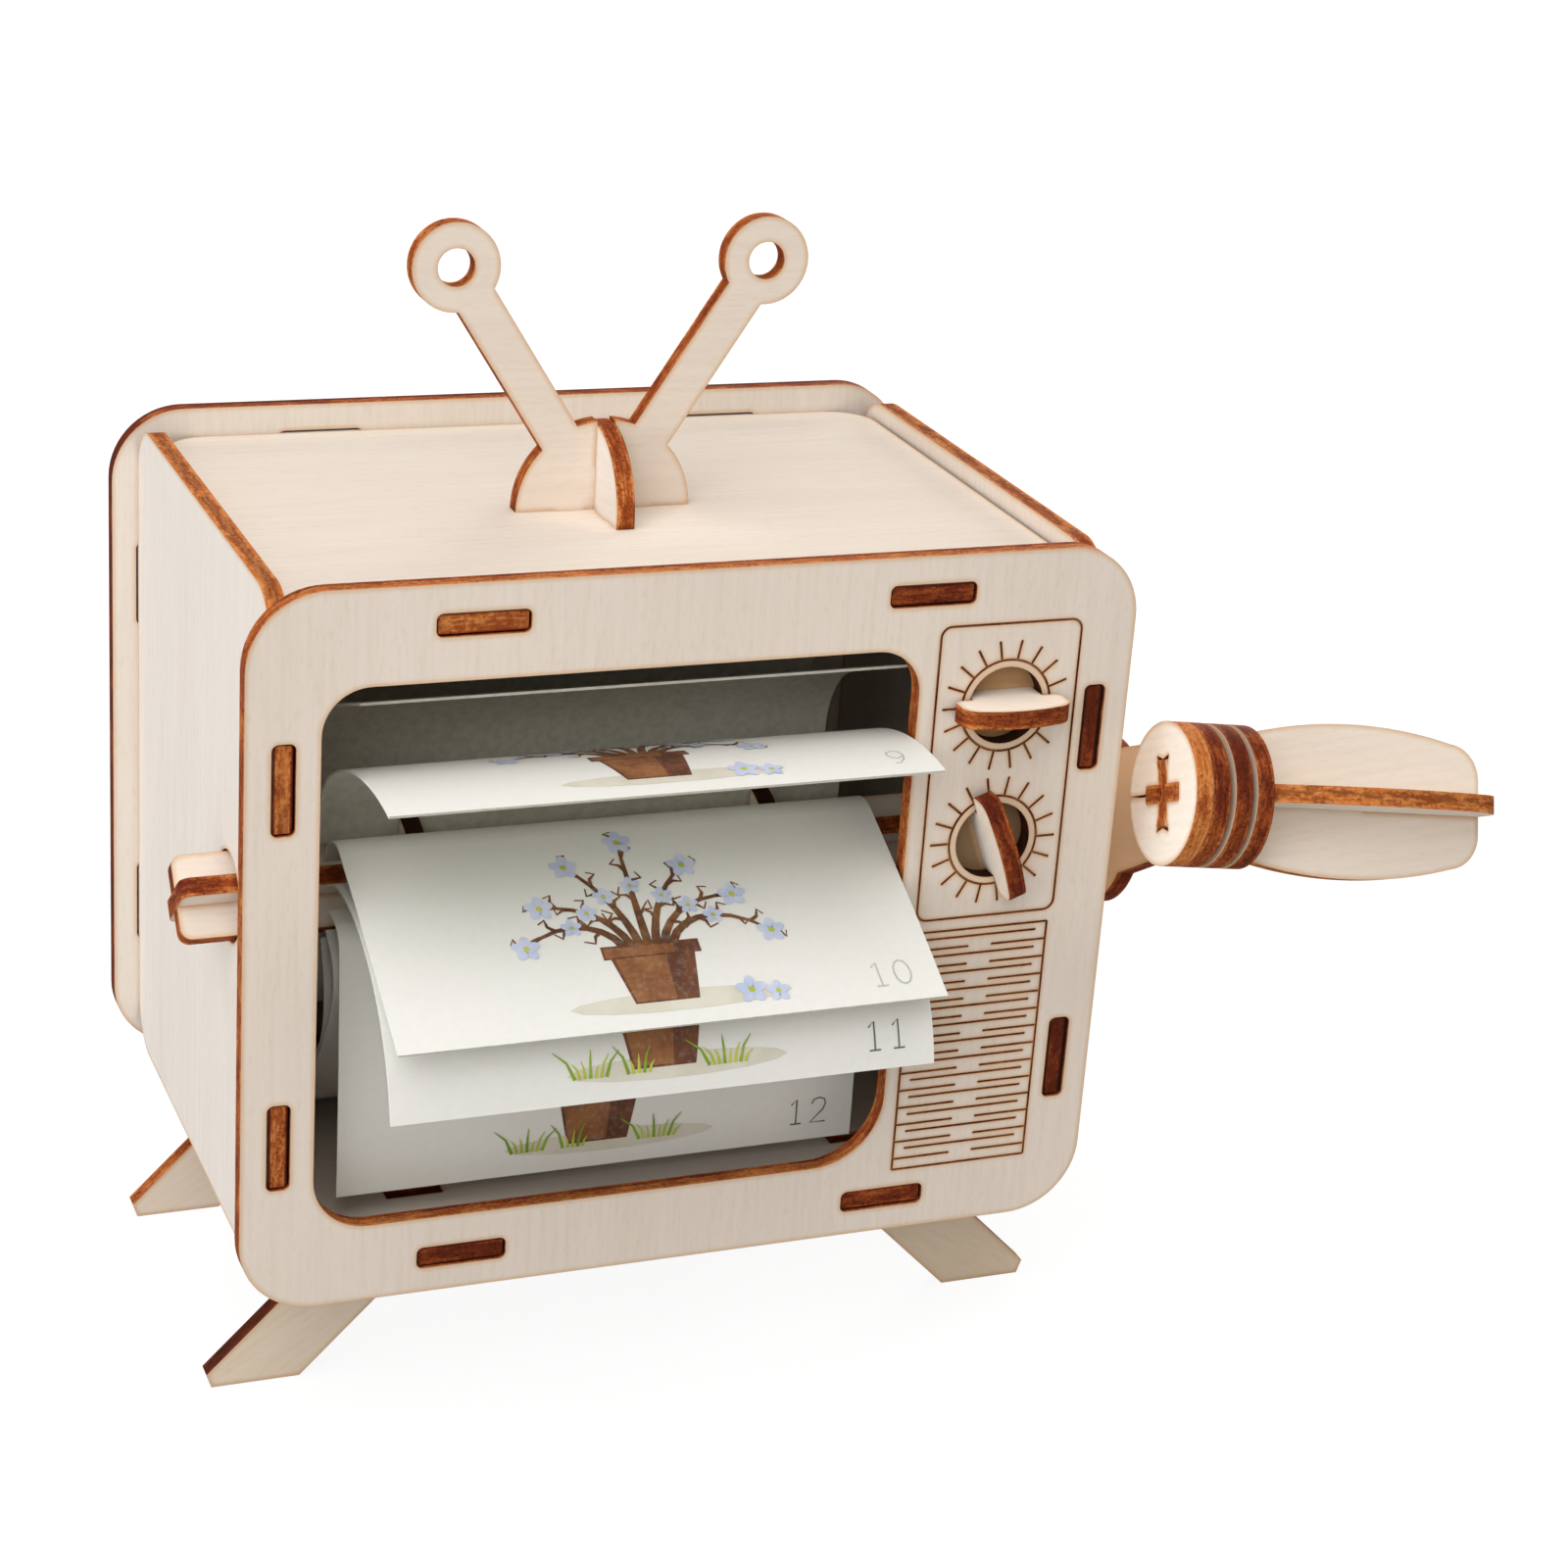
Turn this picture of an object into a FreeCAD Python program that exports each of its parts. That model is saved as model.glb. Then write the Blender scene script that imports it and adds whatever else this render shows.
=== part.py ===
import FreeCAD, Part
import math
import os
import re

import Sketcher

# A television-shaped flip-card toy, cut from one sheet of plywood and plugged together.
# Twelve paper cards stand out of a drum on a cross-section axle. A crank on the right
# turns the drum, and the cards flick past the window in the front panel.
#
# Box frame used for every placement below: X = 0 in the middle of the front panel,
# Y = 0 on its front face with Y growing towards the back, Z = 0 on its lower edge.
# The frame is then shifted so that the origin is under the middle of the whole toy.
# Angles about the axle are read from straight ahead (-Y) towards straight up (+Z).

Vector = FreeCAD.Vector
Rotation = FreeCAD.Rotation

doc = FreeCAD.newDocument("FlipCardTelevision")
dims = doc.addObject("Spreadsheet::Sheet", "Dims")

# A size is a number, or an expression of other sizes that it follows.
DIMENSIONS = (
    # the plywood and the two big panels
    ("ply", 2.5),
    ("panel_width", 120.0),
    ("panel_height", 98.4),
    ("panel_round", 10.2),
    ("box_depth", 77.8),
    ("window_left", "4.65 - side_x"),
    ("window_right", "dial_x - 12.7"),
    ("window_bottom", 10.95),
    ("window_top", "panel_height - 12.7"),
    ("window_round_top", 6.2),
    ("window_round_left", 7.5),
    ("window_round_right", 10.0),
    # tabs and the slots that take them
    ("tab_length", 11.6),
    ("tab_out", 2.1),
    ("slot_length", 12.2),
    ("slot_width", "ply + 0.6"),
    ("slot_round", 0.9),
    ("top_tab_x", 30.2),
    ("side_tab_low", 23.8),
    ("side_tab_high", "panel_height - 25.5"),
    # side, top and bottom plates
    ("side_x", "panel_width / 2 - 4.95"),
    ("side_bottom", 1.7),
    ("side_top", "panel_height - 1.5"),
    ("side_round", 7.0),
    ("deck_top", "panel_height - 4.1"),
    ("deck_half", "side_x - 1.75"),
    ("deck_round", 6.5),
    ("floor_bottom", 3.8),
    ("floor_half", "side_x - 1.75"),
    # dials, knobs, grille and the engraved lines
    ("dial_x", "side_x - 13.05"),
    ("dial_upper", 77.0),
    ("dial_lower", 57.7),
    ("dial_hole", 5.4),
    ("dial_ring", 6.4),
    ("tick_length", 2.75),
    ("tick_count", 18),
    ("line_width", 0.32),
    ("line_depth", 0.35),
    ("frame_left", "dial_x - 10.2"),
    ("frame_right", "dial_x + 10.1"),
    ("frame_bottom", 46.7),
    ("frame_top", 88.5),
    ("frame_round", 1.5),
    ("grille_left", "dial_x - 10.6"),
    ("grille_right", "dial_x + 9.45"),
    ("grille_bottom", 9.2),
    ("grille_top", 44.9),
    ("grille_rows", 13),
    ("grille_pitch", 2.62),
    ("knob_half", 7.75),
    ("knob_neck", 5.0),
    ("knob_reach", 5.6),
    ("knob_disc", 8.0),
    ("knob_lower_turn", 110.0),
    # axle, drum and cards
    ("axle_y", 23.0),
    ("axle_z", 49.2),
    ("axle_turn", 40.4),
    ("axle_left", "-side_x - 8.45"),
    ("axle_right", "side_x + 17.95"),
    ("axle_middle", 4.0),
    ("axle_half", 5.75),
    ("axle_hole", "axle_half + 0.45"),
    ("tongue_half", "axle_half - 1.45"),
    ("crank_seat", "side_x + 13.35"),
    ("collar_radius", 8.6),
    ("collar_gap", 0.3),
    ("hub_radius", 9.6),
    ("hub_left_x", "card_left + 10.8"),
    ("hub_right_x", "card_left + card_width - 13.3"),
    ("hub_slot_width", 0.7),
    ("card_root", "axle_half + 0.85"),
    ("card_bend_start", 9.7),
    ("card_length", 42.6),
    ("card_left", "window_left + 5.6"),
    ("card_width", "window_right - 0.5 - card_left"),
    ("card_thickness", 0.35),
    # crank and handle
    ("crank_turn", 28.6),
    ("crank_radius", 27.0),
    ("crank_hub", 12.0),
    ("crank_waist_hub", 9.4),
    ("crank_waist_end", 7.6),
    ("crank_lean", 7.0),
    ("crank_lean_turn", 24.0),
    ("crank_play", 0.25),
    ("disc_radius", 9.9),
    ("pin_half", 4.7),
    ("pin_hole", 5.3),
    ("retainer_gap", 0.1),
    ("washer_gap", 0.9),
    ("washer_space", 0.8),
    ("grip_turn", 25.5),
    ("grip_start_half", 8.6),
    ("grip_length", 37.4),
    ("grip_bulge", 66.0),
    ("grip_end_half", 4.0),
    ("grip_end_round", 5.0),
    # antenna
    ("antenna_x", -1.9),
    ("antenna_y", "box_depth / 2 - 0.1"),
    ("antenna_dome", 12.3),
    ("antenna_spread", 32.7),
    ("antenna_length", 39.9),
    ("antenna_arm", 5.7),
    ("antenna_ring", 5.98),
    ("antenna_eye", 2.53),
    ("antenna_cross_half", 10.8),
    ("antenna_cross_height", 11.8),
    ("antenna_tab", 4.0),
    ("antenna_tab_start", 2.7),
    # legs
    ("leg_front_y", 15.65),
    ("leg_rear_y", "box_depth - 13.45"),
    ("leg_foot", -19.25),
    ("leg_inner", 28.8),
    ("leg_outer", 43.6),
    ("leg_toe", 2.0),
    ("leg_tab", 8.0),
    # shift of the box frame, worked out once everything is built
    ("shift_x", 0.0),
    ("shift_y", 0.0),
    ("shift_z", 0.0),
)

CELLS = {}
for row, (alias, size) in enumerate(DIMENSIONS, start=1):
    dims.set(f"A{row}", alias)
    dims.setAlias(f"B{row}", alias)
    CELLS[alias] = f"B{row}"
for alias, size in DIMENSIONS:
    dims.set(CELLS[alias], f"={size}")
doc.recompute()


def bound(expression):
    """Write an expression of plain aliases as FreeCAD reads it from another object."""
    def full_name(match):
        word = match.group(0)
        return "Dims." + word if word in CELLS else word
    return re.sub(r"[a-z][a-z_]*", full_name, str(expression))


def number(expression):
    """The present value of an expression."""
    return float(dims.evalExpression(bound(expression)))


# ---------------------------------------------------------------- sketch helpers

def new_body(label):
    body = doc.addObject("PartDesign::Body", label)
    body.Label = label
    return body


def new_sketch(body, name, height="0", turn=0.0, plane="XY_Plane"):
    """A sketch on one of the body's own planes, raised along its normal and turned in it."""
    sketch = body.newObject("Sketcher::SketchObject", f"{body.Name}_{name}")
    plane_object = next(item for item in body.Origin.OriginFeatures if item.Role == plane)
    sketch.AttachmentSupport = [(plane_object, "")]
    sketch.MapMode = "FlatFace"
    sketch.AttachmentOffset = FreeCAD.Placement(Vector(0, 0, 0), Rotation(Vector(0, 0, 1), turn))
    sketch.setExpression("AttachmentOffset.Base.z", bound(height))
    return sketch


def constrain(sketch, *constraint, value=None):
    """Add a constraint; a value is an expression that the constraint then follows."""
    if value is None:
        return sketch.addConstraint(Sketcher.Constraint(*constraint))
    size = number(value)
    index = sketch.addConstraint(Sketcher.Constraint(*constraint, size))
    sketch.setExpression(f"Constraints[{index}]", bound(value))
    return index


def sweep_angle(sketch, arc, degrees):
    """Hold the angle that an arc sweeps, as an expression in degrees."""
    index = sketch.addConstraint(Sketcher.Constraint("Angle", arc, math.radians(number(degrees))))
    sketch.setExpression(f"Constraints[{index}]", bound(degrees))


def pin(sketch, geometry, point, x, y):
    """Hold one point of a geometry at expressions for x and y."""
    constrain(sketch, "DistanceX", -1, 1, geometry, point, value=x)
    constrain(sketch, "DistanceY", -1, 1, geometry, point, value=y)


def minor_arc(start, end, radius):
    """The short arc from start to end; it turns left if the radius is positive."""
    chord = end - start
    middle = start + chord * 0.5
    height = math.sqrt(max(radius * radius - chord.Length * chord.Length / 4, 0.0))
    left = Vector(-chord.y, chord.x, 0).normalize()
    centre = middle + left * math.copysign(height, radius)
    first, last = (start, end) if radius > 0 else (end, start)
    angle_first = math.atan2(first.y - centre.y, first.x - centre.x)
    angle_last = math.atan2(last.y - centre.y, last.x - centre.x)
    circle = Part.Circle(centre, Vector(0, 0, 1), abs(radius))
    return Part.ArcOfCircle(circle, angle_first, angle_last)


def outline(sketch, corners):
    """A closed outline. Each corner is (x, y), or (x, y, radius) if an arc leads to it."""
    points = [Vector(number(corner[0]), number(corner[1]), 0) for corner in corners]
    first_geometry = sketch.GeometryCount
    ends = []
    for index, corner in enumerate(corners):
        start, end = points[index - 1], points[index]
        if len(corner) == 2:
            geometry = sketch.addGeometry(Part.LineSegment(start, end))
            ends.append((1, 2))
        else:
            radius = number(corner[2])
            geometry = sketch.addGeometry(minor_arc(start, end, radius))
            ends.append((1, 2) if radius > 0 else (2, 1))
    for index, corner in enumerate(corners):
        geometry = first_geometry + index
        following = first_geometry + (index + 1) % len(corners)
        constrain(sketch, "Coincident", geometry, ends[index][1],
                  following, ends[(index + 1) % len(corners)][0])
    for index, corner in enumerate(corners):
        geometry = first_geometry + index
        pin(sketch, geometry, ends[index][1], corner[0], corner[1])
        if len(corner) == 3:
            constrain(sketch, "Radius", geometry, value=f"abs({corner[2]})")


def circle(sketch, x, y, radius):
    geometry = sketch.addGeometry(Part.Circle(Vector(number(x), number(y), 0),
                                              Vector(0, 0, 1), number(radius)))
    pin(sketch, geometry, 3, x, y)
    constrain(sketch, "Radius", geometry, value=radius)


def rectangle(sketch, left, bottom, right, top):
    outline(sketch, ((left, bottom), (right, bottom), (right, top), (left, top)))


def rounded(left, bottom, right, top, rounds):
    """Corners of a rectangle; rounds = radii at lower left, lower right, upper right, upper left."""
    low_left, low_right, up_right, up_left = rounds
    return (
        (f"{left} + {low_left}", bottom, low_left),
        (f"{right} - {low_right}", bottom),
        (right, f"{bottom} + {low_right}", low_right),
        (right, f"{top} - {up_right}"),
        (f"{right} - {up_right}", top, up_right),
        (f"{left} + {up_left}", top),
        (left, f"{top} - {up_left}", up_left),
        (left, f"{bottom} + {low_left}"),
    )


def cross(sketch, half_long, half_thick, second_half=None):
    """The plus-shaped outline of two crossing strips."""
    along, across = half_long, half_thick
    other = second_half or half_long
    outline(sketch, (
        (across, across), (across, other), (f"-({across})", other), (f"-({across})", across),
        (f"-({along})", across), (f"-({along})", f"-({across})"),
        (f"-({across})", f"-({across})"), (f"-({across})", f"-({other})"),
        (across, f"-({other})"), (across, f"-({across})"),
        (along, f"-({across})"), (along, across),
    ))


# --------------------------------------------------------------- feature helpers

def pad(body, sketch, length="ply", centred=False):
    feature = body.newObject("PartDesign::Pad", f"{sketch.Name}_pad")
    feature.Profile = sketch
    feature.Midplane = centred
    feature.setExpression("Length", bound(length))
    sketch.Visibility = False
    return feature


def cut(body, sketch, depth=None):
    """A pocket right through the sheet, or down from a sketch on its upper face."""
    feature = body.newObject("PartDesign::Pocket", f"{sketch.Name}_cut")
    feature.Profile = sketch
    if depth is None:
        feature.Type = "ThroughAll"
        feature.Midplane = True
    else:
        feature.setExpression("Length", bound(depth))
    sketch.Visibility = False
    return feature


def repeat_around(body, feature, axis_sketch, count):
    """Repeat a feature evenly about the normal through a sketch's origin."""
    pattern = body.newObject("PartDesign::PolarPattern", f"{feature.Name}_ring")
    pattern.Originals = [feature]
    pattern.Axis = (axis_sketch, ["N_Axis"])
    pattern.Angle = 360.0
    pattern.setExpression("Occurrences", bound(count))
    body.Tip = pattern
    return pattern


def repeat_up(body, feature, axis_sketch, count, pitch):
    """Repeat a feature along a sketch's vertical axis, one pitch apart."""
    pattern = body.newObject("PartDesign::LinearPattern", f"{feature.Name}_rows")
    pattern.Originals = [feature]
    pattern.Direction = (axis_sketch, ["V_Axis"])
    pattern.Mode = "Spacing"
    pattern.setExpression("Occurrences", bound(count))
    pattern.setExpression("Offset", bound(pitch))
    body.Tip = pattern
    return pattern


# ------------------------------------------------------------- placement helpers

STAND_FACING = Rotation(Vector(1, 0, 0), 90)
STAND_SIDEWAYS = Rotation(Vector(1, 1, 1), 120)
LIE_ALONG_DEPTH = Rotation(Vector(0, 0, 1), 90)


def about_axle(angle):
    """Turn about X from 'straight back' to an angle read from straight ahead."""
    return Rotation(Vector(1, 0, 0), 180.0 - number(angle))


def place(body, x, y, z, rotation=Rotation()):
    """Put a body at a point of the box frame; the point follows the sheet."""
    body.Placement = FreeCAD.Placement(Vector(), rotation)
    body.setExpression("Placement.Base.x", bound(f"shift_x + {x}"))
    body.setExpression("Placement.Base.y", bound(f"shift_y + {y}"))
    body.setExpression("Placement.Base.z", bound(f"shift_z + {z}"))


# ----------------------------------------------------------------- the two panels

def panel_slots(body):
    """The eight slots that take the tabs of the four plates between the panels."""
    sketch = new_sketch(body, "slots")
    deck_z = "(deck_top - ply / 2)"
    floor_z = "(floor_bottom + ply / 2)"
    for side in ("-", ""):
        for z in (deck_z, floor_z):
            outline(sketch, rounded(f"{side}top_tab_x - slot_length / 2", f"{z} - slot_width / 2",
                                    f"{side}top_tab_x + slot_length / 2", f"{z} + slot_width / 2",
                                    ("slot_round",) * 4))
        for z in ("side_tab_low", "side_tab_high"):
            outline(sketch, rounded(f"{side}side_x - slot_width / 2", f"{z} - slot_length / 2",
                                    f"{side}side_x + slot_width / 2", f"{z} + slot_length / 2",
                                    ("slot_round",) * 4))
    return cut(body, sketch)


def panel(label):
    body = new_body(label)
    sketch = new_sketch(body, "outline")
    outline(sketch, rounded("-panel_width / 2", "0", "panel_width / 2", "panel_height",
                            ("panel_round",) * 4))
    pad(body, sketch)
    panel_slots(body)
    return body


def engrave_dial(body, name, z):
    """A turned ring with short rays around it, engraved about a knob hole."""
    hole = new_sketch(body, f"{name}_hole")
    circle(hole, "dial_x", z, "dial_hole")
    cut(body, hole)
    ring = new_sketch(body, f"{name}_ring", height="ply")
    circle(ring, "dial_x", z, "dial_ring + line_width / 2")
    circle(ring, "dial_x", z, "dial_ring - line_width / 2")
    cut(body, ring, "line_depth")
    ray = new_sketch(body, f"{name}_ray", height="ply")
    ray.setExpression("AttachmentOffset.Base.x", bound("dial_x"))
    ray.setExpression("AttachmentOffset.Base.y", bound(z))
    rectangle(ray, "dial_ring", "-line_width / 2", "dial_ring + tick_length", "line_width / 2")
    repeat_around(body, cut(body, ray, "line_depth"), ray, "tick_count")


def engrave_controls(body):
    """The line around the two dials and the broken lines of the loudspeaker grille."""
    frame = new_sketch(body, "control_frame", height="ply")
    for offset in ("line_width / 2", "-line_width / 2"):
        round_here = f"(frame_round + {offset})"
        outline(frame, rounded(f"frame_left - ({offset})", f"frame_bottom - ({offset})",
                               f"frame_right + ({offset})", f"frame_top + ({offset})",
                               (round_here,) * 4))
    cut(body, frame, "line_depth")
    border = new_sketch(body, "grille_border", height="ply")
    for x in ("grille_left", "grille_right"):
        rectangle(border, f"{x} - line_width / 2", "grille_bottom",
                  f"{x} + line_width / 2", "grille_top")
    cut(body, border, "line_depth")
    for z in ("grille_bottom", "grille_top"):
        edge = new_sketch(body, f"{z}_line", height="ply")
        rectangle(edge, "grille_left", f"{z} - line_width / 2", "grille_right", f"{z} + line_width / 2")
        cut(body, edge, "line_depth")
    width = "(grille_right - grille_left)"
    rows = (
        ("grille_short", "grille_pitch * 0.63", ((0.0, 0.425), (0.595, 1.0))),
        ("grille_long", "grille_pitch * 1.21", ((0.08, 0.92),)),
    )
    for name, rise, spans in rows:
        sketch = new_sketch(body, name, height="ply")
        for start, end in spans:
            rectangle(sketch, f"grille_left + {width} * {start}",
                      f"grille_bottom + {rise} - line_width / 2",
                      f"grille_left + {width} * {end}",
                      f"grille_bottom + {rise} + line_width / 2")
        repeat_up(body, cut(body, sketch, "line_depth"), sketch, "grille_rows", "grille_pitch")


def front_panel():
    body = panel("front_panel")
    window = new_sketch(body, "window")
    outline(window, rounded("window_left", "window_bottom", "window_right", "window_top",
                            ("window_round_left", "window_round_right",
                             "window_round_top", "window_round_top")))
    cut(body, window)
    engrave_dial(body, "upper", "dial_upper")
    engrave_dial(body, "lower", "dial_lower")
    engrave_controls(body)
    place(body, "0", "ply", "0", STAND_FACING)
    return body


def back_panel():
    body = panel("back_panel")
    place(body, "0", "box_depth + 2 * ply", "0", STAND_FACING)
    return body


# ------------------------------------------------- plates between the two panels

def tabbed_outline(sketch, low, high, corner, tabs):
    """A plate as long as the box is deep, with tabs on both ends at the given heights."""
    half = "tab_length / 2"
    near = [(f"{corner}", low), (f"box_depth - {corner}", low),
            ("box_depth", f"{low} + {corner}", corner)]
    for tab in tabs:
        near += [("box_depth", f"{tab} - {half}"), ("box_depth + tab_out", f"{tab} - {half}"),
                 ("box_depth + tab_out", f"{tab} + {half}"), ("box_depth", f"{tab} + {half}")]
    far = [("box_depth", f"{high} - {corner}"), (f"box_depth - {corner}", high, corner),
           (f"{corner}", high), ("0", f"{high} - {corner}", corner)]
    for tab in reversed(tabs):
        far += [("0", f"{tab} + {half}"), ("-tab_out", f"{tab} + {half}"),
                ("-tab_out", f"{tab} - {half}"), ("0", f"{tab} - {half}")]
    far += [("0", f"{low} + {corner}")]
    corners = near + far
    corners[0] = (*corners[0], corner)
    outline(sketch, corners)


def side_plate(label, inner_x):
    body = new_body(label)
    sketch = new_sketch(body, "outline")
    tabbed_outline(sketch, "side_bottom", "side_top", "side_round",
                   ("side_tab_low", "side_tab_high"))
    pad(body, sketch)
    bore = new_sketch(body, "axle_hole")
    circle(bore, "axle_y - ply", "axle_z", "axle_hole")
    cut(body, bore)
    place(body, inner_x, "ply", "0", STAND_SIDEWAYS)
    return body


def deck(label, half_width, z):
    """The top or bottom plate, drawn with its length along the depth of the box."""
    body = new_body(label)
    sketch = new_sketch(body, "outline")
    tabbed_outline(sketch, f"-{half_width}", half_width, "deck_round",
                   ("-top_tab_x", "top_tab_x"))
    pad(body, sketch)
    place(body, "0", "ply", z, LIE_ALONG_DEPTH)
    return body


def top_plate():
    body = deck("top_plate", "deck_half", "deck_top - ply")
    sketch = new_sketch(body, "antenna_slots")
    middle = "(antenna_y + ply / 2 - ply)"
    thick = "(ply / 2)"
    for start in ("antenna_tab_start", "-antenna_tab_start - antenna_tab"):
        rectangle(sketch, f"{middle} - {thick}", f"-antenna_x + {start}",
                  f"{middle} + {thick}", f"-antenna_x + {start} + antenna_tab")
        rectangle(sketch, f"{middle} + {start}", f"-antenna_x - {thick}",
                  f"{middle} + {start} + antenna_tab", f"-antenna_x + {thick}")
    cut(body, sketch)
    return body


def leg_middle():
    """Middle of a leg where it meets the underside of the floor."""
    return "((leg_inner + leg_outer) / 2 - floor_bottom)"


def bottom_plate():
    body = deck("bottom_plate", "floor_half", "floor_bottom")
    sketch = new_sketch(body, "leg_slots")
    for side in ("-", ""):
        for y in ("(leg_front_y - ply)", "(leg_rear_y - ply)"):
            rectangle(sketch, f"{y} - ply / 2", f"{side}{leg_middle()} - leg_tab / 2",
                      f"{y} + ply / 2", f"{side}{leg_middle()} + leg_tab / 2")
    cut(body, sketch)
    return body


# --------------------------------------------------------------- legs and antenna

def leg(label, y, flip):
    """A leg splayed at 45 degrees, so x + z is the same all along each long edge."""
    body = new_body(label)
    sketch = new_sketch(body, "outline")
    half_tab = "leg_tab / 2"
    outline(sketch, (
        ("leg_inner - leg_foot", "leg_foot"),
        ("leg_outer - leg_foot - leg_toe * 1.35", "leg_foot"),
        ("leg_outer - leg_foot - leg_toe", "leg_foot + leg_toe"),
        ("leg_outer - floor_bottom", "floor_bottom"),
        (f"{leg_middle()} + {half_tab}", "floor_bottom"),
        (f"{leg_middle()} + {half_tab}", "floor_bottom + tab_out"),
        (f"{leg_middle()} - {half_tab}", "floor_bottom + tab_out"),
        (f"{leg_middle()} - {half_tab}", "floor_bottom"),
        ("leg_inner - floor_bottom", "floor_bottom"),
    ))
    pad(body, sketch, centred=True)
    turn = Rotation(Vector(0, 0, 1), 180 if flip else 0)
    place(body, "0", y, "0", turn.multiply(STAND_FACING))
    return body


def antenna_front():
    """The V of the antenna: two ringed arms that grow out of a half-round foot."""
    body = new_body("antenna_front")
    foot = new_sketch(body, "foot")
    start, end = "antenna_tab_start", "(antenna_tab_start + antenna_tab)"
    outline(foot, (
        ("-antenna_dome", "0", "antenna_dome"),
        (f"-{end}", "0"), (f"-{end}", "-tab_out"), (f"-{start}", "-tab_out"), (f"-{start}", "0"),
        (start, "0"), (start, "-tab_out"), (end, "-tab_out"), (end, "0"),
        ("antenna_dome", "0"),
        ("0", "antenna_dome", "antenna_dome"),
    ))
    pad(body, foot)
    for side, spread in (("left", number("antenna_spread")), ("right", -number("antenna_spread"))):
        arm = new_sketch(body, f"arm_{side}", turn=spread)
        rectangle(arm, "-antenna_arm / 2", "antenna_dome * 0.6",
                  "antenna_arm / 2", "antenna_length")
        pad(body, arm)
        ring = new_sketch(body, f"ring_{side}", turn=spread)
        circle(ring, "0", "antenna_length", "antenna_ring")
        pad(body, ring)
        eye = new_sketch(body, f"eye_{side}", turn=spread)
        circle(eye, "0", "antenna_length", "antenna_eye")
        cut(body, eye)
    lap = new_sketch(body, "lap")
    rectangle(lap, "-ply / 2", "antenna_cross_height / 2", "ply / 2", "antenna_dome + 1")
    cut(body, lap)
    place(body, "antenna_x", "antenna_y + ply", "deck_top", STAND_FACING)
    return body


def antenna_cross():
    """The half-round brace that crosses the V and stops it from leaning."""
    body = new_body("antenna_cross")
    sketch = new_sketch(body, "outline")
    start, end = "antenna_tab_start", "(antenna_tab_start + antenna_tab)"
    shoulder = "(antenna_cross_height - antenna_cross_half)"
    outline(sketch, (
        ("-antenna_cross_half", shoulder, "antenna_cross_half"),
        ("-antenna_cross_half", "0"),
        (f"-{end}", "0"), (f"-{end}", "-tab_out"), (f"-{start}", "-tab_out"), (f"-{start}", "0"),
        ("-ply / 2", "0"), ("-ply / 2", "antenna_cross_height / 2"),
        ("ply / 2", "antenna_cross_height / 2"), ("ply / 2", "0"),
        (start, "0"), (start, "-tab_out"), (end, "-tab_out"), (end, "0"),
        ("antenna_cross_half", "0"),
        ("antenna_cross_half", shoulder),
        ("0", "antenna_cross_height", "antenna_cross_half"),
    ))
    pad(body, sketch, centred=True)
    place(body, "antenna_x", "antenna_y + ply / 2", "deck_top", STAND_SIDEWAYS)
    return body


# -------------------------------------------------------------------------- knobs

def knob(name, z, turn):
    """A bow-shaped key that is snapped through a round backing plate behind the panel."""
    blade = new_body(f"knob_blade_{name}")
    sketch = new_sketch(blade, "outline")
    back = "(-2 * ply - 0.3)"
    half_side = (
        ("knob_neck", f"{back} - 0.1"), ("knob_neck", "0.4"),
        ("knob_half - 0.9", "0.4"), ("knob_half", "1.3", "0.9"),
        ("knob_half", "knob_reach - 2.4"),
        ("knob_half - 2.2", "knob_reach - 0.7", "2.6"),
    )
    tail = (("knob_neck - 0.6", f"{back} - 1"), ("knob_neck + 0.3", f"{back} - 0.25"))
    right = tail + half_side
    left = (
        ("-(knob_half - 2.2)", "knob_reach - 0.7", "22"),
        ("-knob_half", "knob_reach - 2.4", "2.6"),
        ("-knob_half", "1.3"),
        ("-(knob_half - 0.9)", "0.4", "0.9"),
        ("-knob_neck", "0.4"), ("-knob_neck", f"{back} - 0.1"),
        ("-(knob_neck + 0.3)", f"{back} - 0.25"), ("-(knob_neck - 0.6)", f"{back} - 1"),
    )
    outline(sketch, right + left)
    pad(blade, sketch, centred=True)
    facing = Rotation(Vector(0, -1, 0), turn).multiply(Rotation(Vector(1, 0, 0), 180))
    place(blade, "dial_x", "0", z, facing)

    plate = new_body(f"knob_plate_{name}")
    disc = new_sketch(plate, "outline")
    circle(disc, "0", "0", "knob_disc")
    pad(plate, disc)
    slot = new_sketch(plate, "slot", turn=turn)
    rectangle(slot, "-knob_neck", "-ply / 2", "knob_neck", "ply / 2")
    cut(plate, slot)
    place(plate, "dial_x", "2 * ply + 0.3", z, STAND_FACING)
    return [blade, plate]


# ----------------------------------------------------------- axle, drum and cards

CARD_COUNT = 12
CARD_STEP = 360.0 / CARD_COUNT

# Each kind of card: the radius it bends to just outside the drum, how far it leans over
# there, and the larger radius of the rest of it.
RESTING = (13.0, 92.0, 266.0)
DROOPING = (5.0, 80.0, 63.0)
ROUNDED = (11.0, 53.0, 40.0)
STRAIGHT = (5.0, 80.0, 400.0)
CURLED = (5.0, 20.0, 26.0)
HANGING = (3.0, 81.0, 400.0)
CARD_SHAPES = {1: DROOPING, 9: ROUNDED, 10: STRAIGHT, 11: CURLED, 12: HANGING}


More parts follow.
